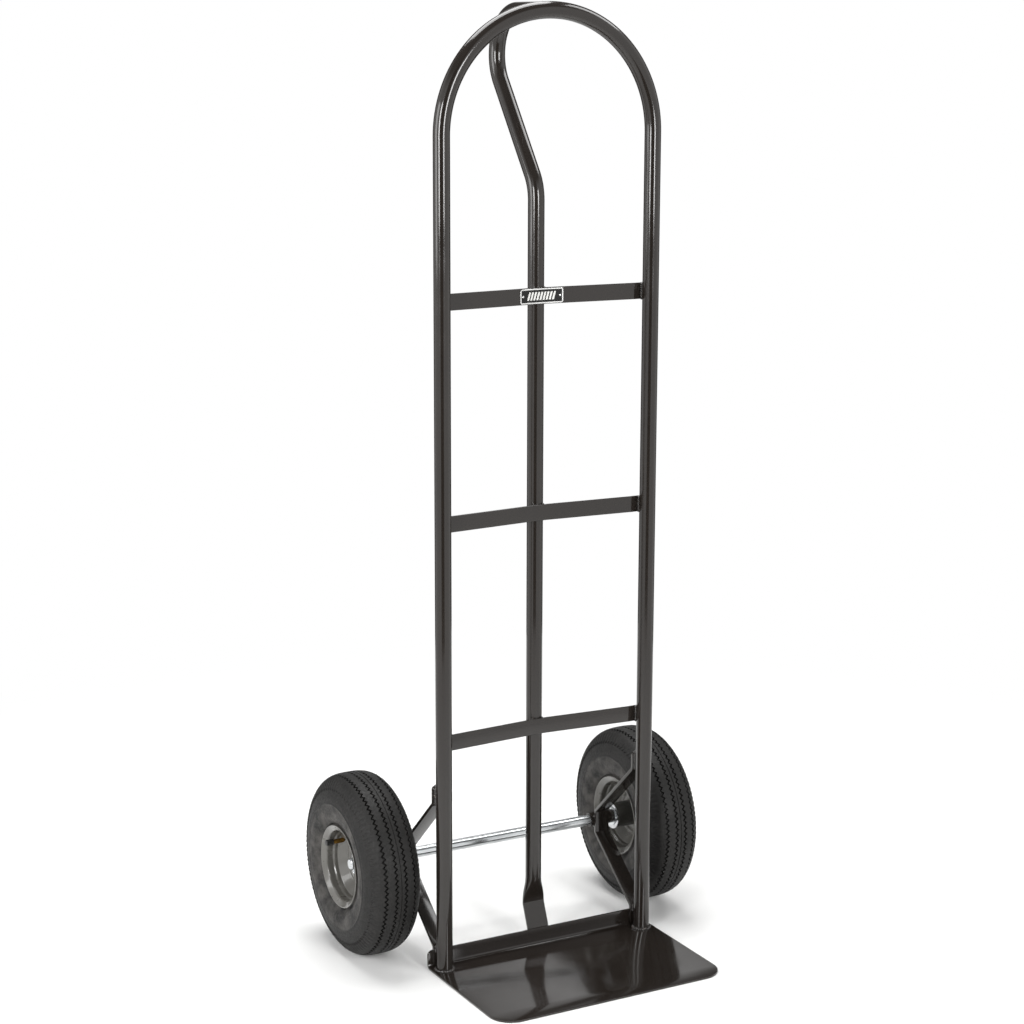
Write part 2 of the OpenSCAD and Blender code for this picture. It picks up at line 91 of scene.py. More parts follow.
# ---- The handle strut's own bends ----

GRIP_BEND_R = 58 * MM
GRIP_SLOPE = math.radians(36.25)
FOOT_ROUND_Z = 95 * MM
FOOT_KINK_Z = 58 * MM
FOOT_THK = 3.2 * MM
# How far the pressed foot sinks at its middle, as a share of its thickness.
FOOT_SINK = 0.22
# How far above the kink the foot starts to round out.
FOOT_ROUND_UP = 1.5 * MM
# Where the foot starts to lean back: steps behind the flange and up from its top edge, in millimetres.
FOOT_CURL = ((0, -4.5), (0.2, -3.2), (0.9, -1.6))


# ---- Colours and small tools ----


def shade(code):
    """Linear colour of an sRGB hex value such as "#2a2623"."""
    channels = [int(code[i : i + 2], 16) / 255 for i in (1, 3, 5)]
    return tuple(c / 12.92 if c <= 0.04045 else ((c + 0.055) / 1.055) ** 2.4 for c in channels)


def smooth(t):
    t = min(1.0, max(0.0, t))
    return t * t * (3 - 2 * t)


def add(tree, kind, links=None, **settings):
    """Adds a node, sets its settings, and sets or links its inputs by name or number."""
    node = tree.nodes.new(kind)
    for name, value in settings.items():
        setattr(node, name, value)
    for key, value in (links or {}).items():
        if isinstance(value, bpy.types.NodeSocket):
            tree.links.new(value, node.inputs[key])
        else:
            node.inputs[key].default_value = value
    return node


def wire(tree, kind, links=None, **settings):
    """Adds a node and gives its first output."""
    return add(tree, kind, links, **settings).outputs[0]


def worked(tree, operation, *values):
    """The result of a maths node over sockets and numbers."""
    return wire(tree, "ShaderNodeMath", dict(enumerate(values)), operation=operation)


def put(name, mesh, material=None):
    """An object for a mesh, at the origin."""
    obj = bpy.data.objects.new(name, mesh)
    bpy.context.scene.collection.objects.link(obj)
    if material is not None:
        mesh.materials.clear()
        mesh.materials.append(material)
    return obj


def plain_mesh(name, points, faces, edges=()):
    mesh = bpy.data.meshes.new(name)
    mesh.from_pydata([tuple(p) for p in points], edges, faces)
    return mesh


def closed_mesh(name, points, faces, sharp):
    mesh = plain_mesh(name, points, faces)
    tidy(mesh, sharp)
    return mesh


def tidy(mesh, sharp):
    """Merges doubles, turns faces outwards, and shades smooth up to that angle in degrees."""
    bm = bmesh.new()
    bm.from_mesh(mesh)
    bmesh.ops.remove_doubles(bm, verts=bm.verts, dist=0.002 * MM)
    bmesh.ops.dissolve_degenerate(bm, edges=bm.edges, dist=0.001 * MM)
    bmesh.ops.recalc_face_normals(bm, faces=bm.faces)
    for face in bm.faces:
        face.smooth = True
    bm.to_mesh(mesh)
    bm.free()
    mesh.set_sharp_from_angle(angle=math.radians(sharp))


def skin(rows, loop_closed=False, capped=True):
    """Points and faces of the skin over rows of equally many points."""
    n = len(rows[0])
    points = [p for row in rows for p in row]
    faces = []
    for i in range(len(rows) if loop_closed else len(rows) - 1):
        a, b = i * n, (i + 1) % len(rows) * n
        for j in range(n):
            k = (j + 1) % n
            faces.append((a + j, a + k, b + k, b + j))
    if capped and not loop_closed:
        faces.append(tuple(range(n)))
        faces.append(tuple(reversed(range(len(points) - n, len(points)))))
    return points, faces


def spun_mesh(name, section, steps, middle_x, side, sharp):
    """A closed section of (x, r) points turned about the axle line."""
    rows = [
        [(middle_x + side * x, AXLE_Y + r * c, AXLE_Z + r * s) for x, r in section]
        for c, s in circle(1, steps)
    ]
    points, faces = skin(rows, loop_closed=True)
    return closed_mesh(name, points, faces, sharp)


def swept_mesh(name, path, sections, across, sharp):
    """Sections of (u, v) points along a flat path: u runs along the vector across, v to the path's side."""
    rows = []
    for i, p in enumerate(path):
        ahead = (path[min(i + 1, len(path) - 1)] - path[max(i - 1, 0)]).normalized()
        beside = ahead.cross(across).normalized()
        rows.append([p + across * u + beside * v for u, v in sections[i]])
    points, faces = skin(rows)
    return closed_mesh(name, points, faces, sharp)


def circle(r, steps):
    turns = [2 * math.pi * i / steps for i in range(steps)]
    return [(r * math.cos(a), r * math.sin(a)) for a in turns]


def arc(cy, cz, r, start, end, steps):
    """Points (y, z) on an arc, with angles in degrees from +Y towards +Z."""
    return [
        (cy + r * math.cos(math.radians(a)), cz + r * math.sin(math.radians(a)))
        for a in (start + (end - start) * i / steps for i in range(steps + 1))
    ]


def stand_for(name, mesh, finish, slot, body, *nodes):
    """A finished piece that rides on a body and stands for CAD nodes."""
    obj = put(name, mesh, coat(finish))
    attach(obj, body)
    if nodes:
        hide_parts(*nodes)
    return obj


# ---- Geometry Nodes ----


def new_tree(name, sockets):
    """A Geometry Nodes tree, the outputs of its input node, and the identifier of each named input."""
    tree = bpy.data.node_groups.new(name, "GeometryNodeTree")
    face = tree.interface
    face.new_socket(name="Geometry", in_out="OUTPUT", socket_type="NodeSocketGeometry")
    ids = {}
    for socket, kind in [("Geometry", "Geometry"), *sockets, ("Finish", "Material")]:
        entry = face.new_socket(name=socket, in_out="INPUT", socket_type="NodeSocket" + kind)
        ids[socket] = entry.identifier
    return tree, add(tree, "NodeGroupInput").outputs, ids


def close_tree(tree, given, geometry):
    """Ends a tree: instances made real, smooth shading and the finish."""
    real = wire(tree, "GeometryNodeRealizeInstances", {"Geometry": geometry})
    shaded = wire(tree, "GeometryNodeSetShadeSmooth", {"Geometry": real})
    painted = wire(tree, "GeometryNodeSetMaterial", {"Geometry": shaded, "Material": given["Finish"]})
    add(tree, "NodeGroupOutput", {"Geometry": painted})


def grown(name, base, built, values):
    """The plain mesh that a tree makes from a base mesh."""
    tree, ids = built
    obj = put(name, base)
    modifier = obj.modifiers.new("Build", "NODES")
    modifier.node_group = tree
    for socket, value in values.items():
        modifier[ids[socket]] = value
    bpy.context.view_layer.update()
    mesh = bpy.data.meshes.new_from_object(obj.evaluated_get(bpy.context.evaluated_depsgraph_get()))
    obj.modifiers.clear()
    bpy.data.objects.remove(obj)
    mesh.name = name
    return mesh


# The plain core of a weld bead and the least and greatest ripple on it, as shares of the bead's radius.
CORE_SHARE = 0.8
RIPPLE_SIZES = (0.86, 1.14)


def bead_tree():
    """A weld bead along every edge of the base mesh: a core with one overlapping ripple at each step."""
    tree, given, ids = new_tree(
        "Weld bead", [("Pitch", "Float"), ("Radius", "Float"), ("Flatness", "Float"), ("Seed", "Int")]
    )
    seam = wire(tree, "GeometryNodeMeshToCurve", {"Mesh": given["Geometry"]})
    even = wire(tree, "GeometryNodeResampleCurve", {"Curve": seam, "Length": given["Pitch"]}, mode="LENGTH")
    core_r = worked(tree, "MULTIPLY", given["Radius"], CORE_SHARE)
    ring = wire(tree, "GeometryNodeCurvePrimitiveCircle", {"Resolution": 10, "Radius": core_r})
    core = wire(tree, "GeometryNodeCurveToMesh", {"Curve": even, "Profile Curve": ring, "Fill Caps": True})
    drop = wire(tree, "GeometryNodeMeshIcoSphere", {"Radius": given["Radius"], "Subdivisions": 2})
    tangent = wire(tree, "GeometryNodeInputTangent")
    turn = wire(tree, "FunctionNodeAlignRotationToVector", {"Vector": tangent}, axis="Z")
    size = add(tree, "FunctionNodeRandomValue", {"Seed": given["Seed"]}, data_type="FLOAT")
    size.inputs[2].default_value, size.inputs[3].default_value = RIPPLE_SIZES
    along = wire(tree, "ShaderNodeCombineXYZ", {0: 1.0, 1: 1.0, 2: given["Flatness"]})
    scale = wire(tree, "ShaderNodeVectorMath", {0: along, "Scale": size.outputs[1]}, operation="SCALE")
    links = {"Points": even, "Instance": drop, "Rotation": turn, "Scale": scale}
    ripples = wire(tree, "GeometryNodeInstanceOnPoints", links)
    both = add(tree, "GeometryNodeJoinGeometry")
    for part in (core, ripples):
        tree.links.new(part, both.inputs[0])
    close_tree(tree, given, both.outputs[0])
    return tree, ids


def round_tree():
    """Copies of the base mesh, evenly round the axle line, merged where they meet."""
    tree, given, ids = new_tree("Round the axle", [("Count", "Int"), ("Axle", "Vector"), ("Weld", "Float")])
    away = wire(tree, "ShaderNodeVectorMath", {0: given["Axle"], 1: (-1, -1, -1)}, operation="MULTIPLY")
    centred = wire(tree, "GeometryNodeTransform", {"Geometry": given["Geometry"], "Translation": away})
    places = wire(tree, "GeometryNodePoints", {"Count": given["Count"]})
    number = wire(tree, "GeometryNodeInputIndex")
    angle = worked(tree, "MULTIPLY", number, worked(tree, "DIVIDE", 2 * math.pi, given["Count"]))
    spin = wire(tree, "ShaderNodeCombineXYZ", {0: angle})
    links = {"Points": places, "Instance": centred, "Rotation": spin}
    copies = wire(tree, "GeometryNodeInstanceOnPoints", links)
    real = wire(tree, "GeometryNodeRealizeInstances", {"Geometry": copies})
    whole = wire(tree, "GeometryNodeMergeByDistance", {"Geometry": real, "Distance": given["Weld"]})
    back = wire(tree, "GeometryNodeTransform", {"Geometry": whole, "Translation": given["Axle"]})
    close_tree(tree, given, back)
    return tree, ids


# ---- Finishes ----


class Finish:
    """A material with its Principled shader, and patterns measured in the piece's own coordinates."""

    def __init__(self, name, color, roughness, metallic=0.0, **sockets):
        self.color = tuple(color)
        self.material = bpy.data.materials.new(name)
        self.material.use_nodes = True
        self.tree = self.material.node_tree
        self.shader = self.tree.nodes["Principled BSDF"]
        self.shader.inputs["Base Color"].default_value = (*color, 1)
        self.shader.inputs["Roughness"].default_value = roughness
        self.shader.inputs["Metallic"].default_value = metallic
        for socket, value in sockets.items():
            self.shader.inputs[socket.replace("_", " ")].default_value = value
        self.place = add(self.tree, "ShaderNodeTexCoord").outputs["Object"]

    def grain(self, size, detail, stretch=(1, 1, 1)):
        """Noise whose lumps are about size metres across."""
        mapped = wire(self.tree, "ShaderNodeMapping", {"Vector": self.place, "Scale": stretch})
        links = {"Vector": mapped, "Scale": 0.5 / size, "Detail": detail}
        return add(self.tree, "ShaderNodeTexNoise", links).outputs["Fac"]

    def spread(self, pattern, low=0.0, high=1.0, start=0.3, end=0.7, **settings):
        """The pattern's run from start to end, turned into values from low to high."""
        links = {"Value": pattern, "From Min": start, "From Max": end, "To Min": low, "To Max": high}
        return wire(self.tree, "ShaderNodeMapRange", links, **settings)

    def tone(self, amount, share):
        """Takes the base colour to that share of itself as the amount goes from 0 to 1."""
        mixed = add(self.tree, "ShaderNodeMix", {"Factor": amount}, data_type="RGBA")
        mixed.inputs[6].default_value = (*self.color, 1)
        mixed.inputs[7].default_value = (*(min(1.0, share * c) for c in self.color), 1)
        self.tree.links.new(mixed.outputs[2], self.shader.inputs["Base Color"])

    def rough(self, pattern, low, high):
        self.tree.links.new(self.spread(pattern, low, high), self.shader.inputs["Roughness"])

    def relief(self, height, depth, strength):
        """Bump of a real depth in metres."""
        links = {"Height": height, "Strength": strength, "Distance": depth}
        bump = wire(self.tree, "ShaderNodeBump", links)
        self.tree.links.new(bump, self.shader.inputs["Normal"])


def powder_coat(look):
    """Powder coat, sprayed and baked on mild steel: a deep gloss skin with a fine orange peel."""
    gloss = Finish("gloss_powder_coat", look.frame_coat, 0.12, Coat_Weight=0.15, Coat_Roughness=0.04)
    gloss.tone(gloss.spread(gloss.grain(60 * MM, 4)), 1.25)
    gloss.rough(gloss.grain(18 * MM, 5), 0.08, 0.16)
    gloss.relief(gloss.grain(1.6 * MM, 1), 0.012 * MM, 0.4)
    return gloss


def weld_coat(look):
    """The same coat over weld beads, where it lies thinner and catches the light on each ripple; small pale
    flecks in its colour are painted highlights.
    """
    gloss = Finish("powder_coat_on_weld", look.frame_coat, 0.14, Coat_Weight=0.5, Coat_Roughness=0.04)
    gloss.relief(gloss.grain(0.8 * MM, 2), 0.12 * MM, 0.8)
    # Painted highlights: small random spots of the coat, made six times paler, stand in for glints on the
    # ripples.
    gloss.tone(gloss.spread(gloss.grain(1.5 * MM, 1), start=0.62, end=0.72), 6)
    return gloss


def zinc(look):
    """Bright zinc plate on drawn rod: a bluish metal with faint draw lines along the rod."""
    plate = Finish("bright_zinc_plate", look.zinc, 0.2, 1.0)
    lines = plate.grain(0.35 * MM, 3, (0.002, 1, 1))
    plate.rough(lines, 0.14, 0.3)
    plate.tone(plate.spread(plate.grain(14 * MM, 3)), 0.82)
    plate.relief(lines, 0.002 * MM, 0.3)
    return plate


def bearing_steel(look):
    """Ground bearing steel: bright, with fine grinding marks and a thin film of oil."""
    steel = Finish("ground_bearing_steel", look.bearing, 0.22, 1.0)
    steel.rough(steel.grain(0.6 * MM, 3), 0.16, 0.34)
    steel.tone(steel.spread(steel.grain(5 * MM, 3), start=0.4, end=0.75), 0.7)
    return steel


def rim_enamel(look):
    """Grey stoving enamel on pressed steel: semi-gloss, with a soft waviness from the pressing."""
    enamel = Finish("grey_stoving_enamel", look.rim, 0.3, Coat_Weight=0.7, Coat_Roughness=0.05)
    enamel.tone(enamel.spread(enamel.grain(25 * MM, 4)), 0.86)
    enamel.rough(enamel.grain(8 * MM, 4), 0.24, 0.38)
    enamel.relief(enamel.grain(2.2 * MM, 1), 0.02 * MM, 0.5)
    return enamel


def hub_enamel(look):
    """Dark enamel on the hub tube, satin and a little dusty."""
    enamel = Finish("dark_hub_enamel", look.hub, 0.36, Coat_Weight=0.15, Coat_Roughness=0.2)
    enamel.tone(enamel.spread(enamel.grain(6 * MM, 4)), 1.5)
    enamel.relief(enamel.grain(1.5 * MM, 2), 0.02 * MM, 0.5)
    return enamel


# Radii between which the tyre's plain side turns into the mottled panel round its rim.
PANEL_FROM = 89 * MM
PANEL_TO = 86 * MM


def tyre_rubber(look):
    """Moulded tyre rubber: matt and nearly black, with mould texture round the rim, and paler in random
    blotches, most of all in the ring round the rim.
    """
    rubber = Finish("moulded_tyre_rubber", look.rubber, 0.62, Specular_IOR_Level=0.32)
    tree = rubber.tree
    to_axle = {"Vector": rubber.place, "Location": (0, -AXLE_Y, -AXLE_Z)}
    centred = wire(tree, "ShaderNodeMapping", to_axle)
    flat = wire(tree, "ShaderNodeVectorMath", {0: centred, 1: (0, 1, 1)}, operation="MULTIPLY")
    radius = add(tree, "ShaderNodeVectorMath", {0: flat}, operation="LENGTH").outputs["Value"]
    panel = rubber.spread(radius, start=PANEL_FROM, end=PANEL_TO, interpolation_type="SMOOTHSTEP")
    bloom = rubber.spread(rubber.grain(9 * MM, 6), start=0.35, end=0.7)
    # The blotches pale the colour most in the ring round the rim and only faintly elsewhere.
    ring_paling = worked(tree, "MULTIPLY_ADD", panel, 0.62, 0.06)
    rubber.tone(worked(tree, "MULTIPLY", bloom, ring_paling), 14)
    mottle = rubber.grain(1.4 * MM, 3)
    deep = worked(tree, "MULTIPLY", mottle, panel)
    rubber.relief(worked(tree, "MULTIPLY_ADD", rubber.grain(0.5 * MM, 2), 0.25, deep), 0.25 * MM, 0.6)
    rubber.rough(mottle, 0.5, 0.72)
    return rubber


def brass(look):
    """Turned brass that has dulled, as on a tyre valve."""
    metal = Finish("dull_turned_brass", look.brass, 0.32, 1.0)
    stain = metal.grain(3 * MM, 4)
    metal.tone(metal.spread(stain), 0.45)
    metal.rough(stain, 0.22, 0.45)
    return metal


def cap_plastic(look):
    """Moulded black plastic, slightly scuffed."""
    plastic = Finish("moulded_cap_plastic", look.cap, 0.42)
    scuff = plastic.grain(1.5 * MM, 4)
    plastic.rough(scuff, 0.34, 0.55)
    plastic.relief(scuff, 0.02 * MM, 0.4)
    return plastic


def plate_aluminium(look):
    """Brushed aluminium of the name plate, with its brush lines along the plate."""
    metal = Finish("brushed_plate_aluminium", look.plate_metal, 0.3, 1.0)
    lines = metal.grain(0.25 * MM, 3, (0.03, 1, 1))
    metal.rough(lines, 0.22, 0.42)
    metal.relief(lines, 0.01 * MM, 0.5)
    return metal


def plate_enamel(look):
    """Black enamel that fills the name plate's sunken field."""
    enamel = Finish("black_plate_enamel", look.plate_field, 0.4, Specular_IOR_Level=0.3)
    enamel.rough(enamel.grain(2 * MM, 4), 0.2, 0.34)
    return enamel


def plate_print(look):
    """Pale screen-printed ink on the name plate's marks."""
    ink = Finish("pale_screen_ink", look.plate_print, 0.45)
    ink.tone(ink.spread(ink.grain(0.9 * MM, 3)), 0.8)
    return ink


def tube_rubber(look):
    """Smooth butyl rubber of the inner tube, dusted with talc."""
    butyl = Finish("talced_butyl", look.tube, 0.5)
    butyl.tone(butyl.spread(butyl.grain(12 * MM, 5), high=0.6), 3)
    return butyl


FINISHES = {
    make.__name__: make
    for make in (
        powder_coat, weld_coat, zinc, bearing_steel, rim_enamel, hub_enamel, tyre_rubber, brass, cap_plastic,
        plate_aluminium, plate_enamel, plate_print, tube_rubber,
    )
}
made = {}


def coat(name):
    """The material of that name, made when it is first asked for."""
    if name not in made:
        made[name] = FINISHES[name](bpy.context.scene.hand_truck_looks).material
    return made[name]


def paint(node, name):
    """Gives a CAD node its finish."""
    obj = frame["nodes"][node]
    obj.data.materials.clear()
    obj.data.materials.append(coat(name))


# A face of a bar, a strap or the plate that is larger than this is one of its flats, and is shaded flat.
FLAT_AREA = 800 * MM * MM


def softened(node, edge):
    """A copy of a CAD node's mesh with its flats made whole and its edges rounded to a radius."""
    source = frame["nodes"][node].data
    mesh = plain_mesh(node, [v.co for v in source.vertices], [tuple(p.vertices) for p in source.polygons])
    bm = bmesh.new()
    bm.from_mesh(mesh)
    bmesh.ops.remove_doubles(bm, verts=bm.verts, dist=0.005 * MM)
    bmesh.ops.dissolve_limit(bm, angle_limit=math.radians(0.5), verts=bm.verts, edges=bm.edges)
    sharp = [e for e in bm.edges if len(e.link_faces) == 2 and e.calc_face_angle() > math.radians(35)]
    bmesh.ops.bevel(
        bm, geom=sharp, offset=edge, offset_type="OFFSET", segments=3, profile=0.5,
        affect="EDGES", clamp_overlap=True,
    )
    for face in bm.faces:
        face.smooth = face.calc_area() < FLAT_AREA
    bm.to_mesh(mesh)
    bm.free()
    mesh.set_sharp_from_angle(angle=math.radians(28))
    return mesh


# ---- Sizes and colours that a user may change ----


def length(name, text, value):
    """A length property whose default is given in millimetres."""
    return bpy.props.FloatProperty(
        name=name, description=text, default=value * MM, min=0.0, unit="LENGTH", precision=5
    )


def count(name, text, value, least, most):
    return bpy.props.IntProperty(name=name, description=text, default=value, min=least, max=most)


def colour(name, text, code):
    return bpy.props.FloatVectorProperty(
        name=name, description=text, default=shade(code), size=3, min=0.0, max=1.0, subtype="COLOR"
    )


class HandTruckSizes(bpy.types.PropertyGroup):
    """Sizes of the details that the CAD model leaves plain."""

    tube_steps: count("Tube facets", "Facets round a frame tube", 56, 12, 128)
    edge_r: length("Edge radius", "Radius on the edges of bars, straps and plate", 0.55)
    weld_r: length("Weld radius", "Radius of a weld bead", 2.6)
    weld_pitch: length("Weld pitch", "Distance from one weld ripple to the next", 2.8)
    tread_pitches: count("Tread pitches", "Teeth of the tread round a tyre", 100, 40, 160)
    groove_depth: length("Groove depth", "Depth of the tread grooves", 3.6)
    groove_w: length("Groove width", "Width of the tread grooves", 3.0)
    groove_swing: length("Groove swing", "How far a groove swings to either side", 1.9)
    step_depth: length("Shoulder step", "Depth of the toothed step round the tyre's shoulders", 1.4)
    panel_r: length("Panel radius", "Radius of the raised ring on a tyre's sidewall", 88)
    rim_steps: count("Rim facets", "Facets round a rim", 160, 32, 256)


class HandTruckLooks(bpy.types.PropertyGroup):
    """Colours of the finishes."""

    frame_coat: colour("Frame coat", "Brown-black powder coat", "#201c19")
    zinc: colour("Zinc", "Bright zinc plate", "#d5d8da")
    bearing: colour("Bearing steel", "Ground steel of the bearings", "#cfd0d2")
    rim: colour("Rim enamel", "Grey enamel of the rims", "#595752")
    hub: colour("Hub enamel", "Dark enamel of the hubs", "#2c2b28")
    rubber: colour("Tyre rubber", "Dark grey rubber of the tyres", "#131211")
    tube: colour("Inner tube", "Butyl of the inner tubes", "#1b1b1b")
    brass: colour("Brass", "Dull brass of the valve stems", "#a9803f")
    cap: colour("Valve cap", "Black plastic of the valve caps", "#1a1a1a")
    plate_metal: colour("Name plate metal", "Brushed aluminium of the name plate", "#dcdcda")
    plate_field: colour("Name plate field", "Black field of the name plate", "#121212")
    plate_print: colour("Name plate print", "Pale ink of the name plate's marks", "#e4e4e0")


# ---- Stage ----


class HANDTRUCK_OT_stage(bpy.types.Operator):
    """Makes the pale floor, the soft studio light and the camera"""

    bl_idname = "handtruck.stage"
    bl_label = "Stage"

    def execute(self, context):
        make_world(context.scene)
        make_floor()
        make_lights()
        make_camera(context.scene)
        context.scene.view_settings.view_transform = "Standard"
        return {"FINISHED"}


CAMERA_AT = Vector((-1.47745, -2.59799, 1.25912))
CAMERA_AZIMUTH = math.radians(-28.7103)
CAMERA_ELEVATION = math.radians(11.9815)
CAMERA_ROLL = math.radians(0.1329)
CAMERA_LENS = 80.07


def make_camera(scene):
    data = bpy.data.cameras.new("camera")
    data.sensor_width = 36
    data.lens = CAMERA_LENS
    data.clip_start = 0.05
    data.clip_end = 60
    camera = bpy.data.objects.new("camera", data)
    scene.collection.objects.link(camera)
    back = Vector((
        math.sin(CAMERA_AZIMUTH) * math.cos(CAMERA_ELEVATION),
        -math.cos(CAMERA_AZIMUTH) * math.cos(CAMERA_ELEVATION),
        math.sin(CAMERA_ELEVATION),
    ))
    turn = (-back).to_track_quat("-Z", "Y").to_matrix() @ Matrix.Rotation(CAMERA_ROLL, 3, "Z")
    camera.matrix_world = Matrix.Translation(CAMERA_AT) @ turn.to_4x4()
    scene.camera = camera


# Brightness of the studio by the angle, in degrees, away from the line that runs from the camera through
# the truck. 0 is straight behind the truck and 180 is the camera's own side, which stays dark.
STUDIO = (
    (-180, 0.03), (-164, 0.03), (-156, 1.0), (-62, 1.0), (-50, 0.1), (-10, 0.1), (-7, 1.1), (1.3, 1.1),
    (1.9, 0.02), (5.5, 0.02), (6.3, 0.7), (9, 0.8), (12, 0.1), (50, 0.1), (62, 1.0), (156, 1.0),
    (164, 0.03), (180, 0.03),
)


# How steeply up a direction points where the ceiling starts and where it is whole, and its brightness.
CEILING_START = 0.42
CEILING_WHOLE = 0.7
CEILING_LEVEL = 0.15


def make_world(scene):
    """A white backdrop for the camera, and for reflections a studio with light and dark walls."""
    world = bpy.data.worlds.new("studio")
    world.use_nodes = True
    tree = world.node_tree
    tree.nodes.clear()
    towards = add(tree, "ShaderNodeTexCoord").outputs["Generated"]
    ahead = (-math.sin(CAMERA_AZIMUTH), math.cos(CAMERA_AZIMUTH), 0)
    right = (math.cos(CAMERA_AZIMUTH), math.sin(CAMERA_AZIMUTH), 0)
    along, aside = (
        add(tree, "ShaderNodeVectorMath", {0: towards, 1: way}, operation="DOT_PRODUCT").outputs["Value"]
        for way in (ahead, right)
    )
    turn = worked(tree, "MULTIPLY_ADD", worked(tree, "ARCTAN2", aside, along), 0.5 / math.pi, 0.5)
    walls = add(tree, "ShaderNodeValToRGB", {"Fac": turn})
    stops = walls.color_ramp.elements
    while len(stops) < len(STUDIO):
        stops.new(1.0)
    for stop, (degrees, level) in zip(stops, STUDIO):
        stop.position = degrees / 360 + 0.5
        stop.color = (level, level, level, 1)
    height = add(tree, "ShaderNodeSeparateXYZ", {0: towards}).outputs["Z"]
    links = {"Value": height, "From Min": CEILING_START, "From Max": CEILING_WHOLE}
    ceiling = wire(tree, "ShaderNodeMapRange", links, interpolation_type="SMOOTHSTEP")
    room = add(tree, "ShaderNodeMix", {"Factor": ceiling}, data_type="RGBA")
    tree.links.new(walls.outputs[0], room.inputs[6])
    room.inputs[7].default_value = (CEILING_LEVEL, CEILING_LEVEL, CEILING_LEVEL, 1)
    seen = add(tree, "ShaderNodeLightPath").outputs["Is Camera Ray"]
    studio = add(tree, "ShaderNodeBackground", {"Color": room.outputs[2], "Strength": 1.0})
    backdrop = add(tree, "ShaderNodeBackground", {"Color": (1, 1, 1, 1), "Strength": 1.0})
    both = add(tree, "ShaderNodeMixShader", {0: seen, 1: studio.outputs[0], 2: backdrop.outputs[0]})
    add(tree, "ShaderNodeOutputWorld", {"Surface": both.outputs[0]})
    scene.world = world


# Radii of the floor's rings, and those between which it fades into the backdrop.
FLOOR_RINGS = (0.01, 0.4, 0.8, 1.2, 1.7)
FADE_START = 0.55
FADE_WHOLE = 1.6


def make_floor():
    """A pale round of floor that fades into the backdrop."""
    points, faces = skin([[(x, y, 0) for x, y in circle(r, 64)] for r in FLOOR_RINGS])
    mesh = plain_mesh("floor", points, faces[:-1])
    floor = Finish("pale_floor", shade("#f4f4f3"), 0.7)
    floor.tone(floor.grain(30 * MM, 4), 1.0377)
    tree = floor.tree
    reach = add(tree, "ShaderNodeVectorMath", {0: floor.place}, operation="LENGTH").outputs["Value"]
    fade = floor.spread(reach, start=FADE_START, end=FADE_WHOLE, interpolation_type="SMOOTHSTEP")
    glow = add(tree, "ShaderNodeEmission", {"Color": (1, 1, 1, 1), "Strength": 1.0})
    mixed = add(tree, "ShaderNodeMixShader", {0: fade, 1: floor.shader.outputs[0], 2: glow.outputs[0]})
    tree.links.new(mixed.outputs[0], tree.nodes["Material Output"].inputs["Surface"])
    put("floor", mesh, floor.material)


STRIP_TURN = math.radians(31)
STRIP_AWAY = 3.0


def make_lights():
    """A large soft box overhead, a fill on the left, and a tall strip on either side of the camera."""
    strips = []
    for name, turn in (("strip_left", -STRIP_TURN), ("strip_right", STRIP_TURN)):
        a = CAMERA_AZIMUTH + turn
        place = (STRIP_AWAY * math.sin(a), -STRIP_AWAY * math.cos(a), 1.42)
        strips.append((name, place, (0, 0, 1.2), 0.6, 1.3, 42))
    for name, place, target, wide, high, power in (
        ("overhead", (0.1, 0.95, 3.3), (0, 0.1, 0.5), 2.2, 2.0, 90),
        ("right_top", (1.5, -0.1, 2.5), (0, 0.1, 0.3), 0.9, 0.9, 14),
        ("left_box", (-3.2, 0.6, 1.4), (0, 0.1, 0.5), 1.6, 1.6, 34),
        *strips,
    ):
        data = bpy.data.lights.new(name, "AREA")
        data.shape = "RECTANGLE"
        data.size = wide
        data.size_y = high
        data.energy = power
        light = bpy.data.objects.new(name, data)
        bpy.context.scene.collection.objects.link(light)
        aim = Vector(target) - Vector(place)
        light.rotation_mode = "QUATERNION"
        light.rotation_quaternion = aim.to_track_quat("-Z", "Y")
        light.location = place
        light.visible_camera = False


# ---- Frame ----


class HANDTRUCK_OT_frame(bpy.types.Operator):
    """Makes the looped frame tube, the crossbars, the toe plate and the axle brackets"""

    bl_idname = "handtruck.frame"
    bl_label = "Frame"

    def execute(self, context):
        sizes = context.scene.hand_truck_sizes
        steps = sizes.tube_steps
        stops = (PLATE_TOP, 350 * MM, 700 * MM, LOOP_Z - 10 * MM)
        path = [Vector((-UPRIGHT_X, 0, z)) for z in stops]
        path += [
            Vector((-UPRIGHT_X * math.cos(a), 0, LOOP_Z + UPRIGHT_X * math.sin(a)))
            for a in (math.pi * i / 72 for i in range(73))
        ]
        path += [Vector((UPRIGHT_X, 0, z)) for z in reversed(stops)]
        mesh = swept_mesh("frame_loop", path, [circle(TUBE_R, steps)] * len(path), Vector((0, 1, 0)), 50)
        stand_for("frame_tube", mesh, "powder_coat", "frame_powder_coat", "frame", "frame_loop")
        for node, name in (
            ("crossbar_top", "top_bar"), ("crossbar_middle", "middle_bar"), ("crossbar_bottom", "bottom_bar"),
            ("toe_plate", "toe_sheet"), ("axle_bracket_left", "bracket_strap_left"),
            ("axle_bracket_right", "bracket_strap_right"),
        ):
            mesh = softened(node, sizes.edge_r)
            stand_for(name, mesh, "powder_coat", "frame_powder_coat", "frame", node)
        for side in SIDES:
            paint(f"axle_sleeve_{side}", "powder_coat")
        return {"FINISHED"}


def foot_section(share, steps):
    """Section of the strut, from round where share is 1 to a pressed flat where it is 0."""
    half_w = FOOT_HALF_W + (TUBE_R - FOOT_HALF_W) * share
    half_t = FOOT_THK / 2 + (TUBE_R - FOOT_THK / 2) * share
    power = 2 / (2 + 7 * (1 - share) ** 2)
    points = []
    for c, s in circle(1, steps):
        sunk = 1 - FOOT_SINK * (1 - share) * (1 - abs(c) ** 6)
        u = half_w * math.copysign(abs(c) ** power, c)
        points.append((u, half_t * math.copysign(abs(s) ** power, s) * sunk))
    return points


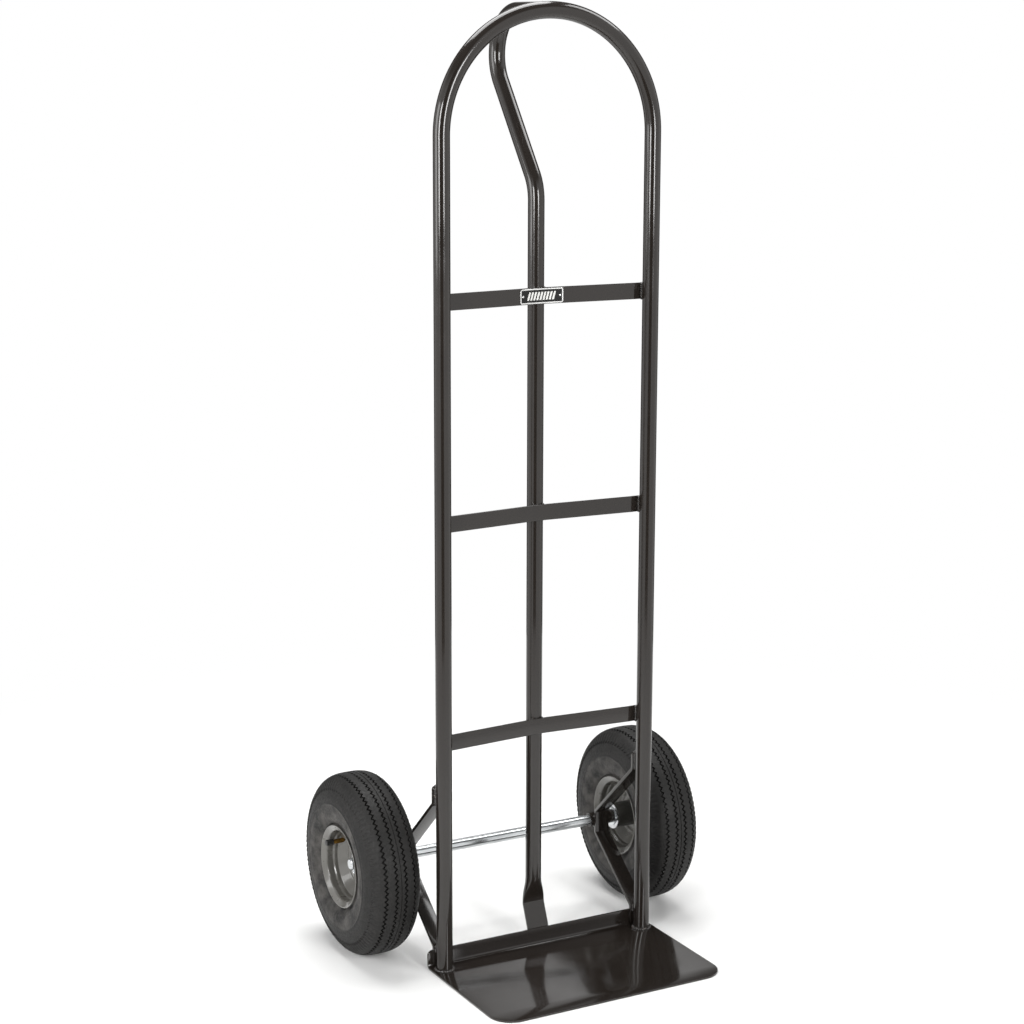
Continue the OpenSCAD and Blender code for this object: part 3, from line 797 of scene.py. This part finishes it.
class HANDTRUCK_OT_strut(bpy.types.Operator):
    """Makes the handle strut with its two bends and its flattened foot"""

    bl_idname = "handtruck.strut"
    bl_label = "Handle strut"

    def execute(self, context):
        steps = context.scene.hand_truck_sizes.tube_steps
        slope = math.degrees(GRIP_SLOPE)
        grip_cy = STRUT_HI.y - TUBE_R - GRIP_BEND_R
        grip_cz = RUN_Z - GRIP_BEND_R
        top_y = grip_cy + GRIP_BEND_R * math.cos(GRIP_SLOPE)
        top_z = grip_cz - GRIP_BEND_R * math.sin(GRIP_SLOPE)
        corner_z = top_z - (top_y - STRUT_Y) / math.tan(GRIP_SLOPE)
        straight_z = corner_z - GRIP_BEND_R * math.tan(GRIP_SLOPE / 2)
        foot_y = FLANGE_BACK_Y + FOOT_THK / 2
        line = [(foot_y, STRUT_LO.z), *((foot_y + y * MM, FLANGE_TOP + z * MM) for y, z in FOOT_CURL)]
        lean_z = FLANGE_TOP - 2 * MM
        line += [
            (foot_y + (STRUT_Y - foot_y) * t, lean_z + (FOOT_KINK_Z - lean_z) * t)
            for t in (0.15, 0.4, 0.6, 0.8, 0.9, 0.96)
        ]
        line += [(STRUT_Y - 0.15 * MM, FOOT_KINK_Z + 0.6 * MM)]
        flat_end = len(line)
        round_z, rise = FOOT_KINK_Z + FOOT_ROUND_UP, FOOT_ROUND_Z - FOOT_KINK_Z
        line += [(STRUT_Y, round_z + rise * i / 14) for i in range(15)]
        line += [(STRUT_Y, z) for z in (200 * MM, 450 * MM, 700 * MM, 950 * MM, straight_z - 5 * MM)]
        line += arc(STRUT_Y + GRIP_BEND_R, straight_z, GRIP_BEND_R, 180, 180 - slope, 16)
        line += arc(grip_cy, grip_cz, GRIP_BEND_R, -slope, 90, 52)
        line += [(y, RUN_Z) for y in (60 * MM, 30 * MM, 1 * MM)]
        shares = [0.0] * flat_end + [smooth((z - round_z) / rise) for _, z in line[flat_end:]]
        path = [Vector((0, y, z)) for y, z in line]
        sections = [foot_section(share, steps) for share in shares]
        mesh = swept_mesh("handle_strut", path, sections, Vector((1, 0, 0)), 50)
        stand_for("handle_tube", mesh, "powder_coat", "frame_powder_coat", "frame", "handle_strut")
        return {"FINISHED"}


# ---- Welds ----

# Height above the axle where a strap's welded tab starts.
STRAP_MEET = 110 * MM
# How far the strut's weld reaches up and down round its end, in degrees.
COPE_REACH = 50
# Height of a ripple as a share of its width.
RIPPLE_FLATNESS = 0.78


def seam_mesh(name, seams):
    """A mesh of bare edges along each seam."""
    points, edges = [], []
    for seam in seams:
        first = len(points)
        points += seam
        edges += [(first + i, first + i + 1) for i in range(len(seam) - 1)]
    return plain_mesh(name, points, [], edges)


def mirrored(seams):
    """The seams with their mirror images in the plane x = 0."""
    return seams + [[Vector((-p.x, p.y, p.z)) for p in seam] for seam in seams]


def rising(x, y, low, high):
    """A straight seam up from one height to another."""
    return [Vector((x, y, low)), Vector((x, y, high))]


def plate_seams():
    """Round the foot of each upright."""
    foot = [Vector((UPRIGHT_X + x, y, PLATE_TOP + 0.6 * MM)) for x, y in circle(TUBE_R + 0.8 * MM, 40)]
    return mirrored([foot + foot[:1]])


def bar_seams():
    """Down both sides of each crossbar's ends, and where the bars meet the strut."""
    seams = []
    for bar in ("crossbar_top", "crossbar_middle", "crossbar_bottom"):
        lo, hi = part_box(bar)
        low, high = lo.z + 1 * MM, hi.z - 1 * MM
        seams += mirrored([rising(UPRIGHT_X - 0.72 * TUBE_R, TUBE_R - 1.6 * MM, low, high)])
        seams += mirrored([rising(0.6 * TUBE_R, BAR_BACK_Y + 1.8 * MM, low, high)])
    return seams


def strap_seams():
    """Round the straps' welded tabs on the uprights, and along the sleeves."""
    lo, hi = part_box("axle_bracket_right")
    seams = []
    for side in (-1, 1):
        x, y = UPRIGHT_X + side * 0.74 * TUBE_R, TUBE_R - 2 * MM
        seams.append(rising(x, y, AXLE_Z + STRAP_MEET + 2 * MM, hi.z - 3 * MM))
        seams.append(rising(x, y, FLANGE_TOP + 1 * MM, FLANGE_TOP + 8 * MM))
    top = hi.z + 0.2 * MM
    seams.append([Vector((UPRIGHT_X + x, TUBE_R + 0.2 * MM, top)) for x in (-7 * MM, 7 * MM)])
    sleeve_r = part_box("axle_sleeve_right")[1].z - AXLE_Z
    for up in (-0.62, 0.62):
        y, z = AXLE_Y - 0.86 * sleeve_r, AXLE_Z + up * sleeve_r
        seams.append([Vector((x, y, z)) for x in (lo.x + 1 * MM, hi.x - 1 * MM)])
    return mirrored(seams)


def strut_seams():
    """Round the coped end of the strut on the loop, and round its foot."""
    cope = [
        Vector((TUBE_R * math.cos(a), TUBE_R * math.cos(a), RUN_Z + TUBE_R * math.sin(a)))
        for a in (math.radians(COPE_REACH * (i / 12 - 1)) for i in range(25))
    ]
    side = rising(FOOT_HALF_W, FLANGE_BACK_Y + 0.8 * MM, STRUT_LO.z + 1 * MM, FLANGE_TOP - 3 * MM)
    low = [Vector((x, FLANGE_BACK_Y + 0.6 * MM, STRUT_LO.z)) for x in (-FOOT_HALF_W, FOOT_HALF_W)]
    return [low, *mirrored([side, cope])]


class HANDTRUCK_OT_welds(bpy.types.Operator):
    """Lays the weld beads of the frame"""

    bl_idname = "handtruck.welds"
    bl_label = "Welds"

    def execute(self, context):
        sizes = context.scene.hand_truck_sizes
        built = bead_tree()
        for number, (name, seams) in enumerate((
            ("welds_upright_feet", plate_seams()),
            ("welds_crossbars", bar_seams()),
            ("welds_brackets", strap_seams()),
            ("welds_handle_strut", strut_seams()),
        )):
            mesh = grown(name, seam_mesh(name, seams), built, {
                "Pitch": sizes.weld_pitch, "Radius": sizes.weld_r, "Flatness": RIPPLE_FLATNESS,
                "Seed": number, "Finish": coat("weld_coat"),
            })
            stand_for(name, mesh, "weld_coat", "frame_powder_coat", "frame")
        return {"FINISHED"}


# ---- Name plate ----

NAME_PLATE_LO, NAME_PLATE_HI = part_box("name_plate")
NAME_HALF_W = NAME_PLATE_HI.x
NAME_HALF_H = (NAME_PLATE_HI.z - NAME_PLATE_LO.z) / 2
NAME_MIDDLE_Z = (NAME_PLATE_HI.z + NAME_PLATE_LO.z) / 2
NAME_THK = 1.2 * MM
NAME_CORNER_R = 3 * MM
BAR_THK = 3 * MM
# The crossbar's flat reaches this far to either side, and from there the bar falls back with this slope.
BAR_FLAT = 11 * MM
BAR_SLOPE = 0.0775
# Section of the plate's metal frame: (step in from its outline, depth), in millimetres.
FRAME_SECTION = ((0, 1.2), (0, 0.25), (0.3, 0), (1.6, 0), (1.9, 0.4), (1.9, 1.2))
FIELD_INSET = 1.7 * MM
FIELD_DEPTH = 0.35 * MM
MARKS = 9
MARK_PITCH = 4.7 * MM
MARK_HALF_W = 1.4 * MM
MARK_HALF_H = 5.4 * MM
MARK_LEAN = 1.6 * MM
MARK_DEPTHS = (0.5 * MM, 0.22 * MM)
RIVET_INSET = 4.6 * MM
RIVET_R = 1.5 * MM
RIVET_RISE = 0.7 * MM


def bowed(x, z, depth):
    """A point on the plate's bowed face, depth behind its highest level."""
    bend = BAR_SLOPE * max(0.0, abs(x) - BAR_FLAT)
    return (x, BAR_BACK_Y - BAR_THK - NAME_THK - bend + depth, NAME_MIDDLE_Z + z)


def rounded_outline(half_w, half_h, r, steps=6, cuts=16):
    """A rectangle with round corners, whose long sides are cut so that they can follow the bow."""
    ring = []
    for cx, cz, start in ((1, 1, 0), (-1, 1, 90), (-1, -1, 180), (1, -1, 270)):
        for i in range(steps + 1):
            a = math.radians(start + 90 * i / steps)
            ring.append((cx * (half_w - r) + r * math.cos(a), cz * (half_h - r) + r * math.sin(a)))
    out = []
    for i, p in enumerate(ring):
        q = ring[(i + 1) % len(ring)]
        parts = cuts if i in (steps, 3 * steps + 2) else 1
        out += [(p[0] + (q[0] - p[0]) * k / parts, p[1] + (q[1] - p[1]) * k / parts) for k in range(parts)]
    return out


def plate_frame():
    rows = []
    for inset, depth in ((inset * MM, depth * MM) for inset, depth in FRAME_SECTION):
        ring = rounded_outline(NAME_HALF_W - inset, NAME_HALF_H - inset, max(NAME_CORNER_R - inset, 1 * MM))
        rows.append([bowed(x, z, depth) for x, z in ring])
    return skin(rows, loop_closed=True)


def plate_field():
    reach, up = NAME_HALF_W - FIELD_INSET, NAME_HALF_H - FIELD_INSET
    section = ((up, FIELD_DEPTH), (up, NAME_THK), (-up, NAME_THK), (-up, FIELD_DEPTH))
    return skin([[bowed(reach * (i / 12 - 1), z, depth) for z, depth in section] for i in range(25)])


def plate_marks():
    points, faces = [], []
    for number in range(MARKS):
        middle = (number - MARKS // 2) * MARK_PITCH
        a = len(points)
        ring = [
            (middle + side * MARK_HALF_W + up * MARK_LEAN, up * MARK_HALF_H)
            for side, up in ((-1, -1), (1, -1), (1, 1), (-1, 1))
        ]
        points += [bowed(x, z, depth) for depth in MARK_DEPTHS for x, z in ring]
        faces += [(a, a + 3, a + 2, a + 1), (a + 4, a + 5, a + 6, a + 7)]
        faces += [(a + k, a + (k + 1) % 4, a + 4 + (k + 1) % 4, a + 4 + k) for k in range(4)]
    return points, faces


def plate_rivets():
    points, faces = [], []
    for middle in (RIVET_INSET - NAME_HALF_W, NAME_HALF_W - RIVET_INSET):
        rows = []
        for a in (math.pi / 2 * tilt / 6 for tilt in range(7)):
            depth = FIELD_DEPTH - RIVET_RISE * math.sin(a)
            rows.append([bowed(middle + x, z, depth) for x, z in circle(RIVET_R * math.cos(a), 20)])
        foot = [(x, y + 0.1 * MM, z) for x, y, z in rows[0]]
        head, sides = skin([foot, *rows])
        faces += [tuple(len(points) + k for k in face) for face in sides]
        points += head
    return points, faces


class HANDTRUCK_OT_name_plate(bpy.types.Operator):
    """Makes the name plate: a rounded metal frame, a black field, plain slanted marks and two rivets"""

    bl_idname = "handtruck.name_plate"
    bl_label = "Name plate"

    def execute(self, context):
        for name, shape, finish, sharp, nodes in (
            ("name_plate_frame", plate_frame, "plate_aluminium", 25, ["name_plate"]),
            ("name_plate_field", plate_field, "plate_enamel", 25, []),
            ("name_plate_marks", plate_marks, "plate_print", 25, []),
            ("name_plate_rivets", plate_rivets, "plate_aluminium", 40, []),
        ):
            mesh = closed_mesh(name, *shape(), sharp)
            stand_for(name, mesh, finish, "name_plate_metal", "frame", *nodes)
        return {"FINISHED"}


# ---- Tyres ----

SIDE_POWER = 3.3
SIDE_BASE = 1.6 * MM
BULGE_UP = 24 * MM
SIDE_FALL = 10 * MM
BEAD_THK = 4.5 * MM
TREAD_THK = 8 * MM


def tyre_outline():
    """Half of the tyre's outer outline as (x, r), from the crown to the groove at the rim lip."""
    base_r = RIM_LIP_R + SIDE_BASE
    bulge_r = RIM_LIP_R + BULGE_UP
    out = []
    for i in range(241):
        a = math.pi / 2 * i / 240
        x = TYRE_HALF_W * math.sin(a) ** (2 / SIDE_POWER)
        r = base_r + (TYRE_R - base_r) * math.cos(a) ** (2 / SIDE_POWER)
        if r > bulge_r:
            out.append((x, r))
    widest = out[-1][0]
    for i in range(41):
        r = bulge_r - (bulge_r - RIM_LIP_R - 1 * MM) * i / 40
        out.append((widest - SIDE_FALL * ((bulge_r - r) / (bulge_r - RIM_LIP_R)) ** 2, r))
    return out


class Outline:
    """An outline that can be read by distance along it, with the direction that faces out of it."""

    def __init__(self, points):
        self.points = points
        self.run = [0.0]
        for p, q in zip(points, points[1:]):
            self.run.append(self.run[-1] + math.dist(p, q))
        self.length = self.run[-1]

    def at(self, s, depth=0.0):
        s = min(max(s, 0.0), self.length)
        i = max(1, next(k for k, run in enumerate(self.run) if run >= s or k == len(self.run) - 1))
        p, q = self.points[i - 1], self.points[i]
        t = (s - self.run[i - 1]) / (self.run[i] - self.run[i - 1])
        along = ((q[0] - p[0]), (q[1] - p[1]))
        size = math.hypot(*along)
        out = (-along[1] / size, along[0] / size)
        return (p[0] + along[0] * t - out[0] * depth, p[1] + along[1] * t - out[1] * depth)


class HANDTRUCK_OT_tyres(bpy.types.Operator):
    """Makes both tyres with their zigzag grooves, notched shoulders and ringed sidewalls"""

    bl_idname = "handtruck.tyres"
    bl_label = "Tyres"

    def execute(self, context):
        built = round_tree()
        sizes = context.scene.hand_truck_sizes
        for side, sign in SIDES.items():
            base = tyre_pitch(f"tyre_pitch_{side}", sizes, sign)
            mesh = grown(f"tyre_tread_{side}", base, built, {
                "Count": sizes.tread_pitches, "Axle": (0, AXLE_Y, AXLE_Z), "Weld": 0.01 * MM,
                "Finish": coat("tyre_rubber"),
            })
            tidy(mesh, 32)
            name = f"tyre_cover_{side}"
            stand_for(name, mesh, "tyre_rubber", "tyre_rubber", f"wheel_{side}", f"tyre_{side}")
        return {"FINISHED"}


# The tables below are in millimetres. Distances run along the tyre's outline from the middle of its tread.
# Each groove's middle, with plain columns on the rib outside it.
GROOVES = ((7, (14.3,)), (21.6, (28, 31)))
# A groove's section about its wall: (step from the wall, depth), where None is the full depth.
GROOVE_WALL = ((-0.35, 0), (0, 0.25), (0.35, None))
# The toothed step: (distance, share of the swing, share of the step's depth, depth of the notch).
SHOULDER = (
    (35, 0, 0, 0.5), (39, 0, 0, 0.7), (43.6, 1.1, 0, 0.7), (44, 1.1, 0.3, 0), (44.6, 1.1, 1, 0),
    (49, 0, 1, 0), (53, 0, 0.6, 0), (57.5, 0, 0.15, 0),
)
# (Step, depth) of the mould seam at the middle, the raised ring about its radius, and the line by the rim.
MOULD_SEAM = ((0, 0.9), (0.5, 0.9), (0.75, 0))
RAISED_RING = ((-0.9, -0.25), (0, -0.35), (0.9, -0.25), (1.5, 0.15), (2.6, 0.3))
RIM_LINE = ((-3.2, -0.2), (-2.4, -0.3), (-1.5, 0), (0, 0))
PANEL_DEPTH = 0.3 * MM
# The stations of one tooth of the tread: (share of the pitch, share of the swing, share of the notch).
TOOTH = ((0, -1, 0), (0.25, 0, 0), (0.5, 1, 0), (0.6, 0.6, 1), (0.9, -0.6, 1), (1, -1, 0))
# The tyre's inside at the bead: (step in from the rim's lip, radius).
BEAD_SECTION = ((5.6, 51.2), (13, 51), (15, 51), (15, 60))
# The inside's width as a share of the outside's, and the radius from which the tread's thickness counts.
INSIDE_SHARE = 0.89
TREAD_FROM_R = 110 * MM


def half_columns(sizes, outline):
    """The tyre's columns from the crown to the rim, as (distance, swing, depth, notch depth)."""

    def plain(start, table):
        return [(start + s * MM, 0, depth * MM, 0) for s, depth in table]

    swing, columns = sizes.groove_swing, plain(0, MOULD_SEAM)
    for middle, rib in GROOVES:
        for side, wall in ((-1, GROOVE_WALL), (1, reversed(GROOVE_WALL))):
            for s, depth in wall:
                s = middle * MM + side * (sizes.groove_w / 2 - s * MM)
                columns.append((s, swing, sizes.groove_depth if depth is None else depth * MM, 0))
        columns += plain(0, [(s, 0) for s in rib])
    columns += [(s * MM, sway * swing, share * sizes.step_depth, n * MM) for s, sway, share, n in SHOULDER]
    start = SHOULDER[-1][0] * MM
    ring = next(s for s, p in zip(outline.run, outline.points) if p[1] < sizes.panel_r)
    run = ring - 1.5 * MM - start
    columns += [(start + run * t, 0, 0, 0) for t in (0.25, 0.5, 0.75, 1.0)]
    columns += plain(ring, RAISED_RING)
    start, end = columns[-1][0], outline.length
    panel = (0.12, 0.25, 0.4, 0.55, 0.7, 0.8, 0.88)
    columns += [(start + (end - start) * t, 0, PANEL_DEPTH * (1 - t), 0) for t in panel]
    return columns + plain(end, RIM_LINE)


def tyre_pitch(name, sizes, sign):
    """One tooth of the tyre as a mesh strip: its outer skin with grooves, and a plain inner skin."""
    outline = Outline(tyre_outline())
    columns = half_columns(sizes, outline)
    inner = [(RIM_LIP_Z - 1.9 * MM, RIM_LIP_R - 2 * MM)]
    inner += [(RIM_LIP_Z - x * MM, r * MM) for x, r in BEAD_SECTION]
    for share in (0.8, 0.6, 0.45, 0.32, 0.2, 0.1):
        x, r = outline.at(outline.length * share)
        inner.append((x * INSIDE_SHARE, r - (TREAD_THK if r > TREAD_FROM_R else BEAD_THK)))
    inner.append((0.0, TYRE_R - TREAD_THK))
    step = 2 * math.pi / sizes.tread_pitches
    rows = []
    for phase, swing, notch in TOOTH:
        half = [outline.at(s + a * swing, d + n * notch) for s, a, d, n in columns]
        other = [outline.at(s - a * swing, d + n * notch) for s, a, d, n in columns[1:]]
        section = [(-x, r) for x, r in reversed(other)] + half + inner
        section += [(-x, r) for x, r in reversed(inner[:-1])]
        a = step * phase
        rows.append([
            (sign * (WHEEL_X + x), AXLE_Y + r * math.cos(a), AXLE_Z + r * math.sin(a)) for x, r in section
        ])
    points, faces = skin(rows, capped=False)
    return plain_mesh(name, points, faces)


# ---- Rims, hubs and valves ----


def rounded_path(path, r, steps):
    """The path with each inner corner replaced by an arc of radius r."""
    out = [Vector(path[0])]
    for a, b, c in zip(path, path[1:], path[2:]):
        a, b, c = Vector(a), Vector(b), Vector(c)
        u, v = (b - a).normalized(), (c - b).normalized()
        turn = math.atan2(u.x * v.y - u.y * v.x, u.dot(v))
        back = r * math.tan(abs(turn) / 2)
        left = Vector((-u.y, u.x)) * math.copysign(1, turn)
        centre = b - u * back + left * r
        for k in range(steps + 1):
            arm = Matrix.Rotation(turn * k / steps, 2) @ -left
            out.append(centre + arm * r)
    out.append(Vector(path[-1]))
    return out


def thickened(path, thk):
    """A closed section of that thickness about a path, with rounded ends."""
    left, right = [], []
    for i, p in enumerate(path):
        ahead = (path[min(i + 1, len(path) - 1)] - path[max(i - 1, 0)]).normalized()
        side = Vector((-ahead.y, ahead.x)) * thk / 2
        left.append(p + side)
        right.append(p - side)
    ends = []
    for tip, before, start in ((path[-1], path[-2], left[-1]), (path[0], path[1], right[0])):
        ahead = (tip - before).normalized()
        side = start - tip
        ends.append([tip + side * math.cos(a) + ahead * thk / 2 * math.sin(a) * 0.8
                     for a in (math.pi * k / 6 for k in range(1, 6))])
    return [*left, *ends[0], *reversed(right), *ends[1]]


RIM_THK = 1.8 * MM
# Below the bead seat's radius, in millimetres: the seat and its step, as (step in from the lip, drop), and
# the bowl's rings, as (distance from the wheel's middle, drop).
RIM_SEAT = ((5.5, 0), (14, 0.4), (16.2, 2.2), (20.4, 2.8))
RIM_BOWL = ((4.4, 14), (4.6, 18), (2, 20.5), (2, 23))


def rim_section():
    """Section of a pressed rim half as (x, r): rolled lip, bead seat, a step, and a ringed bowl."""
    lip, seat = RIM_LIP_Z, RIM_LIP_R - 8.5 * MM
    outer = [(lip - RIM_THK / 2, RIM_LIP_R - RIM_THK / 2)]
    outer += [(lip - x * MM, seat - r * MM) for x, r in RIM_SEAT]
    bowl = [outer[-1], *((x * MM, seat - r * MM) for x, r in RIM_BOWL)]
    bowl += [(RIM_THK / 2, HUB_R + 5 * MM), (RIM_THK / 2, HUB_R)]
    path = rounded_path(outer, 3 * MM, 7)[:-1] + rounded_path(bowl, 1.3 * MM, 6)
    return [(p.x, p.y) for p in thickened(dense_path(path), RIM_THK)]


def dense_path(path, most=1.2 * MM):
    out = [path[0]]
    for p, q in zip(path, path[1:]):
        cuts = max(1, math.ceil((q - p).length / most))
        out += [p.lerp(q, k / cuts) for k in range(1, cuts + 1)]
    return out


BEARING_PIECES = ("outer_rings", "shields", "inner_rings", "balls", "cages")


class HANDTRUCK_OT_wheels(bpy.types.Operator):
    """Makes the pressed rims and finishes hubs, bearings, inner tubes and valves"""

    bl_idname = "handtruck.wheels"
    bl_label = "Rims and hubs"

    def execute(self, context):
        steps = context.scene.hand_truck_sizes.rim_steps
        section = rim_section()
        for side, sign in SIDES.items():
            for half, way in (("outer", 1), ("inner", -1)):
                mesh = spun_mesh(f"rim_{half}_{side}", section, steps, sign * WHEEL_X, sign * way, 40)
                name = f"rim_press_{half}_{side}"
                stand_for(name, mesh, "rim_enamel", "rim_paint", f"wheel_{side}", f"rim_{half}_{side}")
            for finish, nodes in (
                ("hub_enamel", ("hub",)), ("tube_rubber", ("inner_tube",)), ("brass", ("valve_stem",)),
                ("cap_plastic", ("valve_cap",)), ("zinc", ("washer_inner", "washer_outer", "cotter_pin")),
                ("bearing_steel", [f"bearing_{piece}" for piece in BEARING_PIECES]),
            ):
                for node in nodes:
                    paint(f"{node}_{side}", finish)
        paint("axle", "zinc")
        return {"FINISHED"}


# ---- Panel and registration ----

STEPS = (
    HANDTRUCK_OT_stage,
    HANDTRUCK_OT_frame,
    HANDTRUCK_OT_strut,
    HANDTRUCK_OT_welds,
    HANDTRUCK_OT_name_plate,
    HANDTRUCK_OT_tyres,
    HANDTRUCK_OT_wheels,
)


class HANDTRUCK_PT_panel(bpy.types.Panel):
    """Lists the steps that build the hand truck"""

    bl_idname = "HANDTRUCK_PT_panel"
    bl_label = "Hand Truck"
    bl_space_type = "VIEW_3D"
    bl_region_type = "UI"
    bl_category = "Hand Truck"

    def draw(self, context):
        for group in (context.scene.hand_truck_sizes, context.scene.hand_truck_looks):
            box = self.layout.box()
            for name in group.bl_rna.properties.keys():
                if name not in {"rna_type", "name"}:
                    box.prop(group, name)
        for step in STEPS:
            self.layout.operator(step.bl_idname)


CLASSES = (HandTruckSizes, HandTruckLooks, *STEPS, HANDTRUCK_PT_panel)


def register():
    for cls in CLASSES:
        bpy.utils.register_class(cls)
    bpy.types.Scene.hand_truck_sizes = bpy.props.PointerProperty(type=HandTruckSizes)
    bpy.types.Scene.hand_truck_looks = bpy.props.PointerProperty(type=HandTruckLooks)


def unregister():
    del bpy.types.Scene.hand_truck_looks
    del bpy.types.Scene.hand_truck_sizes
    for cls in reversed(CLASSES):
        bpy.utils.unregister_class(cls)


def main():
    register()
    for step in STEPS:
        group, name = step.bl_idname.split(".")
        getattr(getattr(bpy.ops, group), name)()


if __name__ == "__main__":
    main()
